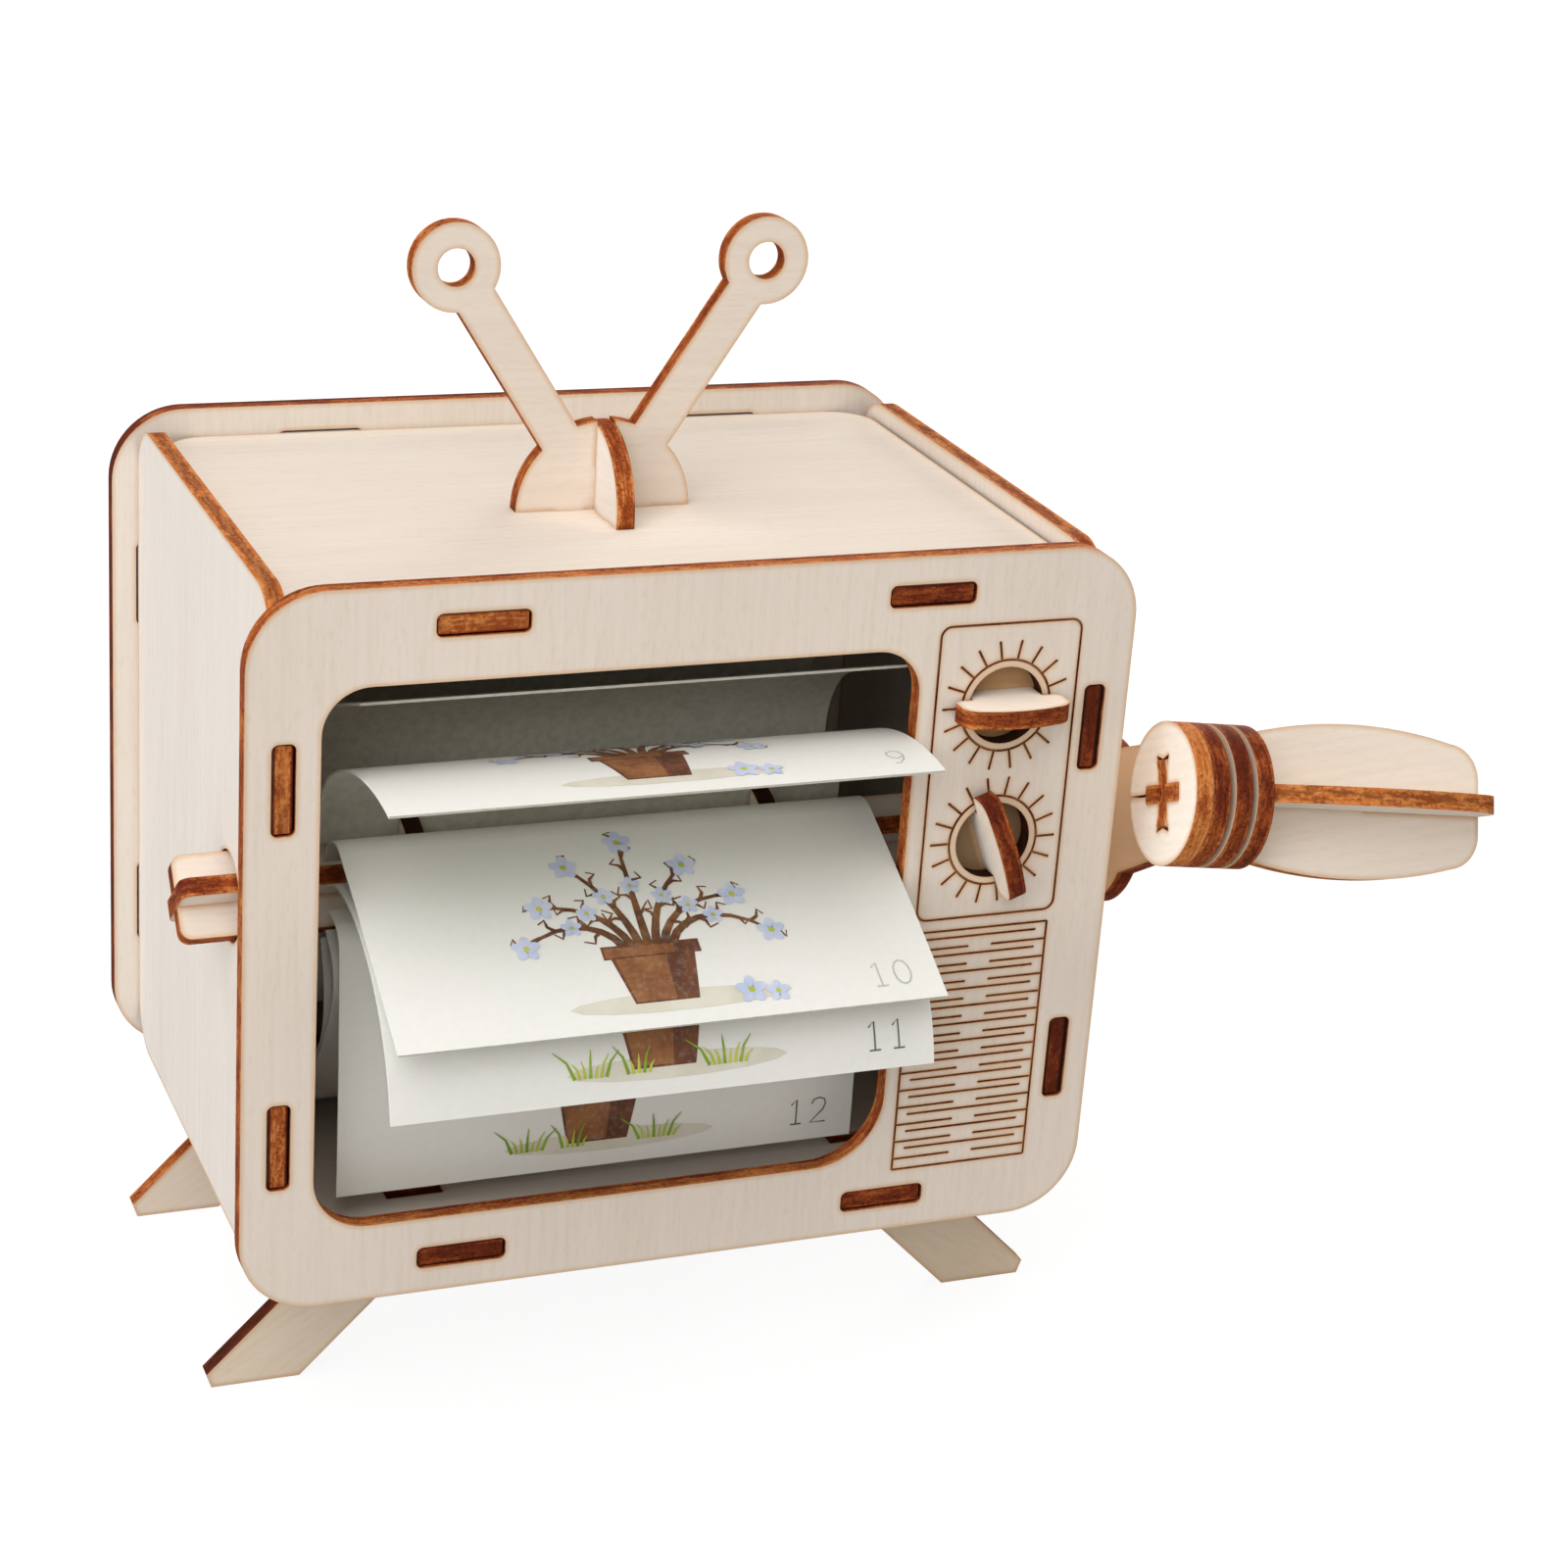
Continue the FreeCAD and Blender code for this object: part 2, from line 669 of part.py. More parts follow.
def axle_blade(label, slot_from_left, turn):
    """One of the two long strips that slide into each other to make the axle."""
    body = new_body(label)
    sketch = new_sketch(body, "outline")
    half, tongue, thick = "axle_half", "tongue_half", "(ply / 2)"
    upper = [("crank_seat", f"-{half}"), ("crank_seat", f"-{tongue}"),
             ("axle_right", f"-{tongue}")]
    if not slot_from_left:
        upper += [("axle_right", f"-{thick}"), ("axle_middle", f"-{thick}"),
                  ("axle_middle", thick), ("axle_right", thick)]
    upper += [("axle_right", tongue), ("crank_seat", tongue), ("crank_seat", half),
              ("axle_left + 1.5", half), ("axle_left", f"{half} - 1.5", "1.5")]
    if slot_from_left:
        upper += [("axle_left", thick), ("axle_middle", thick),
                  ("axle_middle", f"-{thick}"), ("axle_left", f"-{thick}")]
    upper += [("axle_left", f"-({half} - 1.5)"), ("axle_left + 1.5", f"-{half}", "1.5")]
    outline(sketch, upper)
    pad(body, sketch, centred=True)
    place(body, "0", "axle_y", "axle_z", about_axle(turn))
    return body


def on_axle(turn):
    """Stand a flat piece square to the axle, with its local x at an angle about it."""
    return about_axle(turn).multiply(STAND_SIDEWAYS)


def collar(label, x):
    """A disc pressed on the axle inside a side plate, which keeps the axle from sliding."""
    body = new_body(label)
    disc = new_sketch(body, "outline")
    circle(disc, "0", "0", "collar_radius")
    pad(body, disc)
    hole = new_sketch(body, "cross")
    cross(hole, "axle_half", "ply / 2")
    cut(body, hole)
    place(body, x, "axle_y", "axle_z", on_axle("axle_turn"))
    return body


def hub(label, x):
    """A drum disc: a cross-shaped bore, and twelve slots that hold the roots of the cards."""
    body = new_body(label)
    disc = new_sketch(body, "outline")
    circle(disc, "0", "0", "hub_radius")
    pad(body, disc)
    hole = new_sketch(body, "cross")
    cross(hole, "axle_half", "ply / 2")
    cut(body, hole)
    slot = new_sketch(body, "card_slot", turn=CARD_STEP / 2)
    rectangle(slot, "card_root - 0.1", "-hub_slot_width / 2", "hub_radius + 1", "hub_slot_width / 2")
    repeat_around(body, cut(body, slot), slot, str(CARD_COUNT))
    place(body, x, "axle_y", "axle_z", on_axle("axle_turn"))
    return body


def card(index):
    """A paper card: straight in its slot, bent over outside the drum, then gently curled."""
    bend, lean, curl = CARD_SHAPES.get(index, RESTING)
    body = new_body(f"card_{index:02d}")
    path = new_sketch(body, "path")
    start = number("card_bend_start")
    curl_sweep = (f"(card_length - (card_bend_start - card_root) - {bend} * {lean} * pi / 180)"
                  f" / {curl} * 180 / pi")
    centre = Vector(start, bend, 0)
    bend_end = math.radians(lean - 90)
    outward = Vector(math.cos(bend_end), math.sin(bend_end), 0)
    curl_centre = centre + outward * (bend - curl)
    line = path.addGeometry(Part.LineSegment(Vector(number("card_root"), 0, 0), Vector(start, 0, 0)))
    turn = path.addGeometry(Part.ArcOfCircle(Part.Circle(centre, Vector(0, 0, 1), bend),
                                             -math.pi / 2, bend_end))
    arc = path.addGeometry(Part.ArcOfCircle(Part.Circle(curl_centre, Vector(0, 0, 1), curl),
                                            bend_end, bend_end + math.radians(number(curl_sweep))))
    pin(path, line, 1, "card_root", "0")
    pin(path, line, 2, "card_bend_start", "0")
    constrain(path, "Tangent", line, 2, turn, 1)
    constrain(path, "Tangent", turn, 2, arc, 1)
    constrain(path, "Radius", turn, value=str(bend))
    constrain(path, "Radius", arc, value=str(curl))
    sweep_angle(path, turn, str(lean))
    sweep_angle(path, arc, curl_sweep)

    section = new_sketch(body, "section", plane="YZ_Plane")
    section.setExpression("AttachmentOffset.Base.z", bound("card_root"))
    rectangle(section, "-card_thickness / 2", "0", "card_thickness / 2", "card_width")
    sheet = body.newObject("PartDesign::AdditivePipe", f"{body.Name}_sheet")
    sheet.Profile = section
    sheet.Spine = path
    root = number("axle_turn") + CARD_STEP / 2 + CARD_STEP * (10 - index)
    place(body, "card_left", "axle_y", "axle_z", on_axle(root))
    return body


# --------------------------------------------------------------- crank and handle

# The crank hangs loose on its tongue. It leans by crank_lean about a line across the axle,
# which is itself turned by crank_lean_turn from the box's depth direction, and its inner
# face rests against the corners of the axle's shoulders.
CRANK_MIDDLE = "(crank_seat + ply / 2 + (axle_half + ply / 4) * sin(crank_lean))"
CRANK_SKEW = "crank_radius * cos(crank_turn - crank_lean_turn) * (1 - cos(crank_lean))"

# Where the grip begins, measured out along the handle from the middle of the crank.
GRIP_START = "(2.5 * ply + washer_gap + washer_space)"


def leaning(rotation):
    """A rotation followed by the lean of the crank."""
    turned = math.radians(number("crank_lean_turn"))
    axis = Vector(0, math.cos(turned), -math.sin(turned))
    return Rotation(axis, number("crank_lean")).multiply(rotation)


def on_handle(along):
    """A point on the handle's own axis, at a distance out from the middle of the crank."""
    return (
        f"{CRANK_MIDDLE} + crank_radius * sin(crank_turn - crank_lean_turn) * sin(crank_lean)"
        f" + ({along}) * cos(crank_lean)",
        f"axle_y - crank_radius * cos(crank_turn) * cos(crank_lean)"
        f" - cos(crank_lean_turn) * {CRANK_SKEW}"
        f" - ({along}) * sin(crank_lean_turn) * sin(crank_lean)",
        f"axle_z + crank_radius * sin(crank_turn) * cos(crank_lean)"
        f" + sin(crank_lean_turn) * {CRANK_SKEW}"
        f" - ({along}) * cos(crank_lean_turn) * sin(crank_lean)",
    )


def crank_arm():
    """The crank: a hub with a cross-shaped hole, a waisted web and an eye for the handle."""
    body = new_body("crank_arm")
    hub_sketch = new_sketch(body, "hub")
    circle(hub_sketch, "0", "0", "crank_hub")
    pad(body, hub_sketch, centred=True)
    eye_sketch = new_sketch(body, "eye")
    circle(eye_sketch, "crank_radius", "0", "disc_radius")
    pad(body, eye_sketch, centred=True)
    web = new_sketch(body, "web")
    outline(web, (
        ("0", "-crank_waist_hub"), ("crank_radius", "-crank_waist_end"),
        ("crank_radius", "crank_waist_end"), ("0", "crank_waist_hub"),
    ))
    pad(body, web, centred=True)
    seat = new_sketch(body, "seat", turn=number("axle_turn") * -1 + number("crank_turn"))
    cross(seat, "tongue_half + crank_play", "(ply / 2 + crank_play)")
    cut(body, seat)
    bore = new_sketch(body, "bore")
    circle(bore, "crank_radius", "0", "pin_hole")
    cut(body, bore)
    place(body, CRANK_MIDDLE, "axle_y", "axle_z", leaning(on_axle("crank_turn")))
    return body


def handle_disc(label, along, snap):
    """A disc on the handle's crossed tabs; the snap disc is slit so that it can spring open."""
    body = new_body(label)
    disc = new_sketch(body, "outline")
    circle(disc, "0", "0", "disc_radius")
    pad(body, disc)
    hole = new_sketch(body, "cross")
    cross(hole, "pin_half", "ply / 2")
    cut(body, hole)
    if snap:
        slit = new_sketch(body, "slit")
        rectangle(slit, "-(disc_radius + 1)", "-line_width / 2", "0", "line_width / 2")
        cut(body, slit)
        flare = new_sketch(body, "flare")
        for side in ("-", ""):
            tip, base = f"{side}(pin_half + 0.6)", f"{side}(pin_half - 1.2)"
            points = [("-ply / 2", base), ("ply / 2", base), ("ply / 2 + 0.5", tip),
                      ("0", f"{side}(pin_half + 0.02)"), ("-(ply / 2 + 0.5)", tip)]
            outline(flare, points if side == "" else points[::-1])
        cut(body, flare)
    x, y, z = on_handle(along)
    place(body, x, y, z, leaning(on_axle("grip_turn")))
    return body


def grip_blade(label, slot_from_tip, angle):
    """One of the two crossed blades of the handle, with a barbed tab at its inner end."""
    body = new_body(label)
    sketch = new_sketch(body, "outline")
    end = "-(1.5 * ply + retainer_gap + 0.3)"
    tip = f"({GRIP_START} + grip_length)"
    lap = f"({GRIP_START} + grip_length / 2)"
    thick = "(ply / 2)"
    points = [
        (end, "-(pin_half - 0.3)"), (f"{end} + 0.5", "-pin_half"), (GRIP_START, "-pin_half"),
        (GRIP_START, "-grip_start_half"),
        (f"{tip} - 4.4", "-(grip_end_half + 4.8)", "grip_bulge"),
        (tip, "-grip_end_half", "grip_end_round"),
    ]
    if slot_from_tip:
        points += [(tip, f"-{thick}"), (lap, f"-{thick}"), (lap, thick), (tip, thick)]
    points += [
        (tip, "grip_end_half"), (f"{tip} - 4.4", "grip_end_half + 4.8", "grip_end_round"),
        (GRIP_START, "grip_start_half", "grip_bulge"), (GRIP_START, "pin_half"),
        (f"{end} + 0.5", "pin_half"), (end, "pin_half - 0.3"),
    ]
    if slot_from_tip:
        points += [(f"{end} + 0.8", "0")]
    else:
        points += [(end, thick), (lap, thick), (lap, f"-{thick}"), (end, f"-{thick}")]
    outline(sketch, points)
    pad(body, sketch, centred=True)
    x, y, z = on_handle("0")
    place(body, x, y, z, leaning(about_axle(angle)))
    return body


# ----------------------------------------------------------------------- assembly

front_panel()
back_panel()
side_plate("side_left", "-side_x - ply / 2")
side_plate("side_right", "side_x - ply / 2")
top_plate()
bottom_plate()
antenna_front()
antenna_cross()
leg("leg_front_left", "leg_front_y", True)
leg("leg_front_right", "leg_front_y", False)
leg("leg_rear_left", "leg_rear_y", True)
leg("leg_rear_right", "leg_rear_y", False)
knob("upper", "dial_upper", 0.0)
knob("lower", "dial_lower", number("knob_lower_turn"))
axle_blade("axle_blade_a", True, "axle_turn - 90")
axle_blade("axle_blade_b", False, "axle_turn")
collar("collar_left", "-side_x + ply / 2 + collar_gap")
collar("collar_right", "side_x - 1.5 * ply - collar_gap")
hub("hub_left", "hub_left_x")
hub("hub_right", "hub_right_x")
for card_index in range(1, CARD_COUNT + 1):
    card(card_index)
crank_arm()
handle_disc("snap_disc", "-(1.5 * ply + retainer_gap)", True)
handle_disc("washer_inner", "ply / 2 + washer_gap", False)
handle_disc("washer_outer", "1.5 * ply + washer_gap + washer_space", False)
grip_blade("grip_blade_tall", True, "90 + grip_turn")
grip_blade("grip_blade_flat", False, "grip_turn")
doc.recompute()

bodies = [item for item in doc.Objects if item.TypeId == "PartDesign::Body"]


def check_all():
    for item in doc.Objects:
        if "Invalid" in item.State or "Error" in item.State:
            raise RuntimeError(f"{item.Name} ({item.Label}) failed: {item.State}")
    for item in bodies:
        if item.Shape.isNull() or not item.Shape.isValid() or len(item.Shape.Solids) != 1:
            raise RuntimeError(f"{item.Label} is not one valid solid")


check_all()

# The origin goes under the middle of the toy, on the surface that its feet stand on.
boxes = [item.Shape.optimalBoundingBox(False, False) for item in bodies]
dims.set(CELLS["shift_x"], str(-(min(b.XMin for b in boxes) + max(b.XMax for b in boxes)) / 2))
dims.set(CELLS["shift_y"], str(-(min(b.YMin for b in boxes) + max(b.YMax for b in boxes)) / 2))
dims.set(CELLS["shift_z"], str(-min(b.ZMin for b in boxes)))
doc.recompute()
check_all()

os.makedirs("parts", exist_ok=True)
for item in bodies:
    item.Shape.exportStep(f"parts/{item.Label}.step")
print(f"{len(bodies)} parts written")
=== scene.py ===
"""Looks of the hand-cranked flip-card television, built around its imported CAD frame.

Everything is in metres, in the row's frame. Places in millimetres are measured from SHIFT, which
is where part.py has its origin: the middle of the front panel's lower edge.
"""

import math

import bmesh
import bpy
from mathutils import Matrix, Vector


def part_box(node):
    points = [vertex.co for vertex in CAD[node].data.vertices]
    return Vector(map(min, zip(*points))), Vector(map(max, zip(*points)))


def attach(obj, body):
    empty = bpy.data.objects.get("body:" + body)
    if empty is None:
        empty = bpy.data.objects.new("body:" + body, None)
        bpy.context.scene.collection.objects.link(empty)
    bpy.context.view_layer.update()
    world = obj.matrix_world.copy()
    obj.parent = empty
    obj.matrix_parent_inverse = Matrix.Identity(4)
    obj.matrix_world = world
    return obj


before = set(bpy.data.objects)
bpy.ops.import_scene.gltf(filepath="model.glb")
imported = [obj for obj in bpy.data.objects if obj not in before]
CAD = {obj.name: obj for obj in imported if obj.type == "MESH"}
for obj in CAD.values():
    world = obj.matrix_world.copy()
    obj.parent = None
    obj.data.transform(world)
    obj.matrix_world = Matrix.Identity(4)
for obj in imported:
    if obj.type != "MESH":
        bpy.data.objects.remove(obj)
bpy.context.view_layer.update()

MM = 0.001
panel_low, panel_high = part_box("front_panel")
SHIFT = Vector(((panel_low.x + panel_high.x) / 2, panel_low.y, panel_low.z))
AXLE_Y, AXLE_Z = 23.0, 49.2
KNOB_X, KNOB_HEIGHTS = 42.0, (77.0, 57.7)


def srgb(red, green, blue):
    """Linear colour of an 8-bit sRGB one."""

    def linear(value):
        value /= 255
        return value / 12.92 if value <= 0.04045 else ((value + 0.055) / 1.055) ** 2.4

    return (linear(red), linear(green), linear(blue), 1.0)


# ---------------------------------------------------------------- node helpers


class Graph:
    """A node tree with short calls for the nodes used here."""

    def __init__(self, tree):
        self.tree = tree

    def node(self, kind, inputs=None, **settings):
        made = self.tree.nodes.new("ShaderNode" + kind)
        for name, value in settings.items():
            setattr(made, name, value)
        for key, value in (inputs or {}).items():
            self.feed(made.inputs[key], value)
        return made

    def feed(self, socket, value):
        if isinstance(value, bpy.types.NodeSocket):
            self.tree.links.new(value, socket)
        else:
            socket.default_value = value

    def math(self, operation, a, b=0.0, c=0.0):
        return self.node("Math", {0: a, 1: b, 2: c}, operation=operation).outputs[0]

    def vector(self, operation, a, b=(0, 0, 0)):
        made = self.node("VectorMath", {0: a, 1: b}, operation=operation)
        return made.outputs["Value" if operation in ("DOT_PRODUCT", "LENGTH") else "Vector"]

    def combine(self, x, y, z):
        return self.node("CombineXYZ", {0: x, 1: y, 2: z}).outputs[0]

    def separate(self, vector):
        return self.node("SeparateXYZ", {0: vector}).outputs

    def ramp(self, value, low, high, start=0.0, end=1.0):
        """value from low..high mapped smoothly to start..end."""
        inputs = {0: value, 1: low, 2: high, 3: start, 4: end}
        return self.node("MapRange", inputs, interpolation_type="SMOOTHSTEP").outputs[0]

    def mix(self, factor, a, b, blend="MIX"):
        made = self.node("Mix", data_type="RGBA", blend_type=blend)
        self.feed(made.inputs[0], factor)
        self.feed(made.inputs[6], a)
        self.feed(made.inputs[7], b)
        return made.outputs[2]

    def noise(self, where, scale=1.0, detail=2.0, rough=0.5):
        inputs = {"Vector": where, "Scale": scale, "Detail": detail, "Roughness": rough}
        return self.node("TexNoise", inputs, noise_dimensions="3D").outputs[0]

    def place(self):
        """The shaded point in the mesh's own frame, so that the pattern moves with it."""
        return self.node("TexCoord").outputs["Object"]

    def flat_normal(self):
        return self.node("NewGeometry").outputs["True Normal"]

    def mesh_normal(self):
        """The facet's normal in the mesh's own frame."""
        return self.node(
            "VectorTransform", {0: self.flat_normal()}, vector_type="NORMAL", convert_from="WORLD",
            convert_to="OBJECT",
        ).outputs[0]

    def occlusion(self, distance, samples, **settings):
        """How closed in a point is within a distance: 0 in the open, 1 deep in a hole."""
        made = self.node("AmbientOcclusion", {"Distance": distance}, samples=samples, **settings)
        return self.math("SUBTRACT", 1.0, made.outputs["AO"])

    def surface(self, shader):
        self.node("OutputMaterial", {"Surface": shader.outputs[0]})


def new_material(name):
    made = bpy.data.materials.new(name)
    made.use_nodes = True
    made.node_tree.nodes.clear()
    return made, Graph(made.node_tree)


# ---------------------------------------------------------------- plywood

BIRCH = srgb(233, 221, 209)
BIRCH_STREAK = srgb(219, 203, 186)
BIRCH_FUZZ = srgb(204, 186, 162)
BIRCH_WARM = srgb(237, 220, 202)
# The burn colour also paints shade in holes, slots and crevices.
BURN_AND_SHADE = srgb(128, 82, 52)
BURN_HALO = srgb(216, 176, 132)
CHAR_LIGHT = srgb(216, 140, 76)
CHAR_MID = srgb(192, 104, 46)
# The red, dark and black char colours also paint shade in holes and slots.
CHAR_AND_SHADE_RED = srgb(144, 66, 28)
CHAR_AND_SHADE_DARK = srgb(96, 36, 18)
CHAR_AND_SHADE_BLACK = srgb(44, 24, 15)
CORE_BROWN = srgb(156, 92, 52)
CORE_DARK = srgb(82, 48, 34)
ENGRAVED = srgb(150, 98, 62)
ENGRAVED_DARK = srgb(108, 66, 40)
ENGRAVED_LIGHT = srgb(188, 140, 96)
VEIN = srgb(122, 64, 32)

BURN_LINE = 0.22 * MM
HALO_REACH = 0.9 * MM
# reach of the painted shade, with some laser smoke, in holes, slots and crevices
SMOKE_AND_SHADE_REACH = 2.2 * MM
# reach of the painted shade in the knob holes
KNOB_SHADE_REACH = 6.0 * MM
PANEL_DEPTH = 2.6 * MM  # the sheet and a little more
FACING = 0.7  # least cosine to the sheet's normal of a surface that lies along it
FACE_LAYER = 0.93  # surfaces along the sheet but nearer its middle than this are engraved

GROUP_INPUTS = {
    "Normal": "Vector", "Grain": "Vector", "Cross": "Vector", "Middle": "Float", "Half": "Float",
    "Seed": "Float", "Char": "Float", "Vein": "Float", "Burn": "Float", "Core": "Float",
    "Slot": "Float", "Soot": "Float", "Tone": "Color",
}
GROUP_OUTPUTS = {"Color": "Color", "Roughness": "Float", "Height": "Float"}


class Plywood(Graph):
    """The node group of laser-cut birch plywood.

    The sheet's normal, grain, mid-plane and half thickness come in, with the settings of one
    piece. Noise scales are in cells per metre.
    """

    def __init__(self):
        tree = bpy.data.node_groups.new("laser_plywood", "ShaderNodeTree")
        for in_out, sockets in (("INPUT", GROUP_INPUTS), ("OUTPUT", GROUP_OUTPUTS)):
            for name, kind in sockets.items():
                tree.interface.new_socket(name, in_out=in_out, socket_type="NodeSocket" + kind)
        super().__init__(tree)
        self.given = tree.nodes.new("NodeGroupInput").outputs
        self.point = self.place()
        self.normal = self.mesh_normal()
        self.along = self.vector("DOT_PRODUCT", self.point, self.given["Grain"])
        self.across = self.vector("DOT_PRODUCT", self.point, self.given["Cross"])
        height = self.vector("DOT_PRODUCT", self.point, self.given["Normal"])
        self.through = self.math("SUBTRACT", height, self.given["Middle"])
        # 0 in the middle of the sheet, 1 at its faces
        self.layer = self.math("DIVIDE", self.math("ABSOLUTE", self.through), self.given["Half"])
        # How closed in each point is: drives painted shade, with some laser smoke, in holes, slots
        # and crevices.
        self.smoke = self.occlusion(SMOKE_AND_SHADE_REACH, 4)

        self.streaks = self.face_noise(60, 1100, detail=3.0, rough=0.6)
        self.fuzz = self.face_noise(500, 1800)
        self.fibres = self.cut_noise(300.0, 2400.0)
        self.speck = self.cut_noise(1500.0, 2200.0)
        self.patch = self.cut_noise(420.0, 640.0)
        self.blotch = self.cut_noise(140.0, 280.0, detail=2.0)
        grit = self.math("MULTIPLY", self.speck, 0.45)
        self.grit = self.math("MULTIPLY_ADD", self.fibres, 0.55, grit)

        facing = self.vector("DOT_PRODUCT", self.normal, self.given["Normal"])
        is_flat = self.math("GREATER_THAN", self.math("ABSOLUTE", facing), FACING)
        is_top = self.math("GREATER_THAN", self.layer, FACE_LAYER)
        flat = self.mix(is_top, self.engraved(), self.face())
        relief = self.math("MULTIPLY_ADD", self.fuzz, 0.4, self.math("MULTIPLY", self.streaks, 0.6))
        results = tree.nodes.new("NodeGroupOutput").inputs
        self.feed(results["Color"], self.mix(is_flat, self.cut(), flat))
        self.feed(results["Roughness"], self.math("MULTIPLY_ADD", self.streaks, 0.1, 0.78))
        self.feed(results["Height"], self.mix(is_flat, self.fibres, relief))

    def face_noise(self, per_along, per_across, detail=2.0, rough=0.5):
        """Noise for the faces, drawn out along the grain."""
        where = self.combine(
            self.math("MULTIPLY_ADD", self.along, per_along, self.given["Seed"]),
            self.math("MULTIPLY_ADD", self.across, per_across, self.given["Seed"]),
            self.math("MULTIPLY", self.through, 200.0),
        )
        return self.noise(where, detail=detail, rough=rough)

    def cut_noise(self, in_plane, per_through, detail=3.0, rough=0.6):
        """Noise for the cut edges, drawn out along the plies."""
        where = self.combine(
            self.math("MULTIPLY_ADD", self.along, in_plane, self.given["Seed"]),
            self.math("MULTIPLY", self.across, in_plane),
            self.math("MULTIPLY_ADD", self.through, per_through, self.given["Seed"]),
        )
        return self.noise(where, detail=detail, rough=rough)

    def face(self):
        """Pale birch with fine streaks and slow tone, burns beside every cut and groove, and
        painted shade in holes and slots.
        """
        bands = self.face_noise(9, 120)
        tone = self.face_noise(14, 30)
        colour = self.mix(self.ramp(self.streaks, 0.38, 0.74, 0.0, 0.34), BIRCH, BIRCH_STREAK)
        colour = self.mix(self.ramp(bands, 0.42, 0.75, 0.0, 0.22), colour, BIRCH_STREAK)
        colour = self.mix(self.ramp(self.fuzz, 0.5, 0.8, 0.0, 0.22), colour, BIRCH_FUZZ)
        colour = self.mix(self.ramp(tone, 0.3, 0.8, 0.0, 0.22), colour, BIRCH_WARM)
        colour = self.mix(1.0, colour, self.given["Tone"], "MULTIPLY")

        # A wide warm halo, and a thin dark line at the very edge.
        wander = self.noise(self.point, 700.0)
        near_cut = self.occlusion(HALO_REACH, 6, inside=True, only_local=True)
        halo = self.ramp(self.math("MULTIPLY_ADD", wander, 0.12, near_cut), 0.08, 0.50, 0.0, 0.75)
        colour = self.mix(halo, colour, BURN_HALO)
        bevel = self.node("Bevel", {"Radius": BURN_LINE}, samples=6).outputs[0]
        turned = self.vector("DOT_PRODUCT", bevel, self.flat_normal())
        turned = self.math("SUBTRACT", 1.0, turned)
        line = self.ramp(self.math("MULTIPLY_ADD", wander, 0.10, turned), 0.08, 0.26)
        colour = self.mix(self.math("MULTIPLY", line, self.given["Burn"]), colour, BURN_AND_SHADE)

        # Painted shade in holes, slots and crevices, with some of the laser's smoke.
        return self.mix(self.ramp(self.smoke, 0.25, 0.9, 0.0, 0.35), colour, BURN_AND_SHADE)

    def engraved(self):
        """The floor of an engraved line."""
        mottle = self.noise(self.point, 900.0)
        pale = self.noise(self.point, 90.0, detail=1.0)
        colour = self.mix(self.ramp(mottle, 0.35, 0.65), ENGRAVED_DARK, ENGRAVED)
        return self.mix(self.ramp(pale, 0.45, 0.60, 0.0, 0.7), colour, ENGRAVED_LIGHT)

    def cut(self):
        """A cut edge: orange plies, a brown core ply, dark veins, and char and painted shade over
        all.
        """
        outer = self.mix(self.ramp(self.grit, 0.40, 0.60), CHAR_LIGHT, CHAR_MID)
        core = self.mix(self.ramp(self.grit, 0.42, 0.58), CORE_BROWN, CORE_DARK)
        border = self.math("MULTIPLY_ADD", self.patch, 1.8, self.layer)
        border = self.math("MULTIPLY_ADD", self.fibres, 0.9, border)
        shows = self.ramp(self.blotch, 0.34, 0.50, 0.3, 1.0)
        shows = self.math("MULTIPLY", shows, self.given["Core"])
        shows = self.math("MULTIPLY", self.ramp(border, 1.80, 2.15, 1.0, 0.0), shows)
        colour = self.mix(shows, outer, core)
        torn = self.cut_noise(330.0, 1500.0, detail=2.0)
        torn = self.math("MULTIPLY_ADD", self.speck, 0.35, torn)
        torn = self.math("MULTIPLY_ADD", self.layer, -0.16, torn)
        vein = self.math("MULTIPLY", self.ramp(torn, 0.53, 0.74), self.given["Vein"])
        colour = self.mix(vein, colour, VEIN)

        char = self.char()
        colour = self.mix(self.ramp(char, 0.10, 0.62, 0.0, 0.88), colour, CHAR_AND_SHADE_RED)
        colour = self.mix(self.ramp(char, 0.50, 1.05), colour, CHAR_AND_SHADE_DARK)
        return self.mix(self.ramp(char, 1.0, 1.6), colour, CHAR_AND_SHADE_BLACK)

    def char(self):
        """How charred a cut edge is, with painted shade in holes and slots added, from 0 for orange
        to 1.6 for black.
        """
        pits = self.cut_noise(2300.0, 2600.0, detail=1.0)
        end_grain = self.vector("DOT_PRODUCT", self.normal, self.given["Grain"])
        end_grain = self.math("POWER", self.math("ABSOLUTE", end_grain), 2.0)
        rim = self.ramp(self.math("MULTIPLY_ADD", self.patch, 0.7, self.layer), 0.85, 1.25)
        char = self.math("ADD", self.given["Char"], self.ramp(self.blotch, 0.32, 0.68, -0.16, 0.22))
        char = self.math("ADD", char, self.ramp(self.grit, 0.40, 0.60, -0.13, 0.17))
        char = self.math("ADD", char, self.ramp(pits, 0.60, 0.72, 0.0, 0.45))
        char = self.math("MULTIPLY_ADD", end_grain, 0.12, char)
        char = self.math("MULTIPLY_ADD", rim, -0.24, char)
        char = self.math("ADD", char, self.ramp(self.layer, 0.90, 1.0, 0.0, 0.30))
        char = self.math("MULTIPLY_ADD", self.given["Soot"], self.panel_soot(), char)
        has_slot = self.math("GREATER_THAN", self.given["Slot"], 0.0)
        char = self.math("MULTIPLY_ADD", has_slot, self.tab_soot(), char)
        # Painted shade deep in holes and slots, weaker near the faces.
        shallow = self.ramp(self.layer, 0.76, 0.92, 1.0, 0.3)
        return self.math("MULTIPLY_ADD", self.ramp(self.smoke, 0.30, 0.95, 0.0, 1.1), shallow, char)

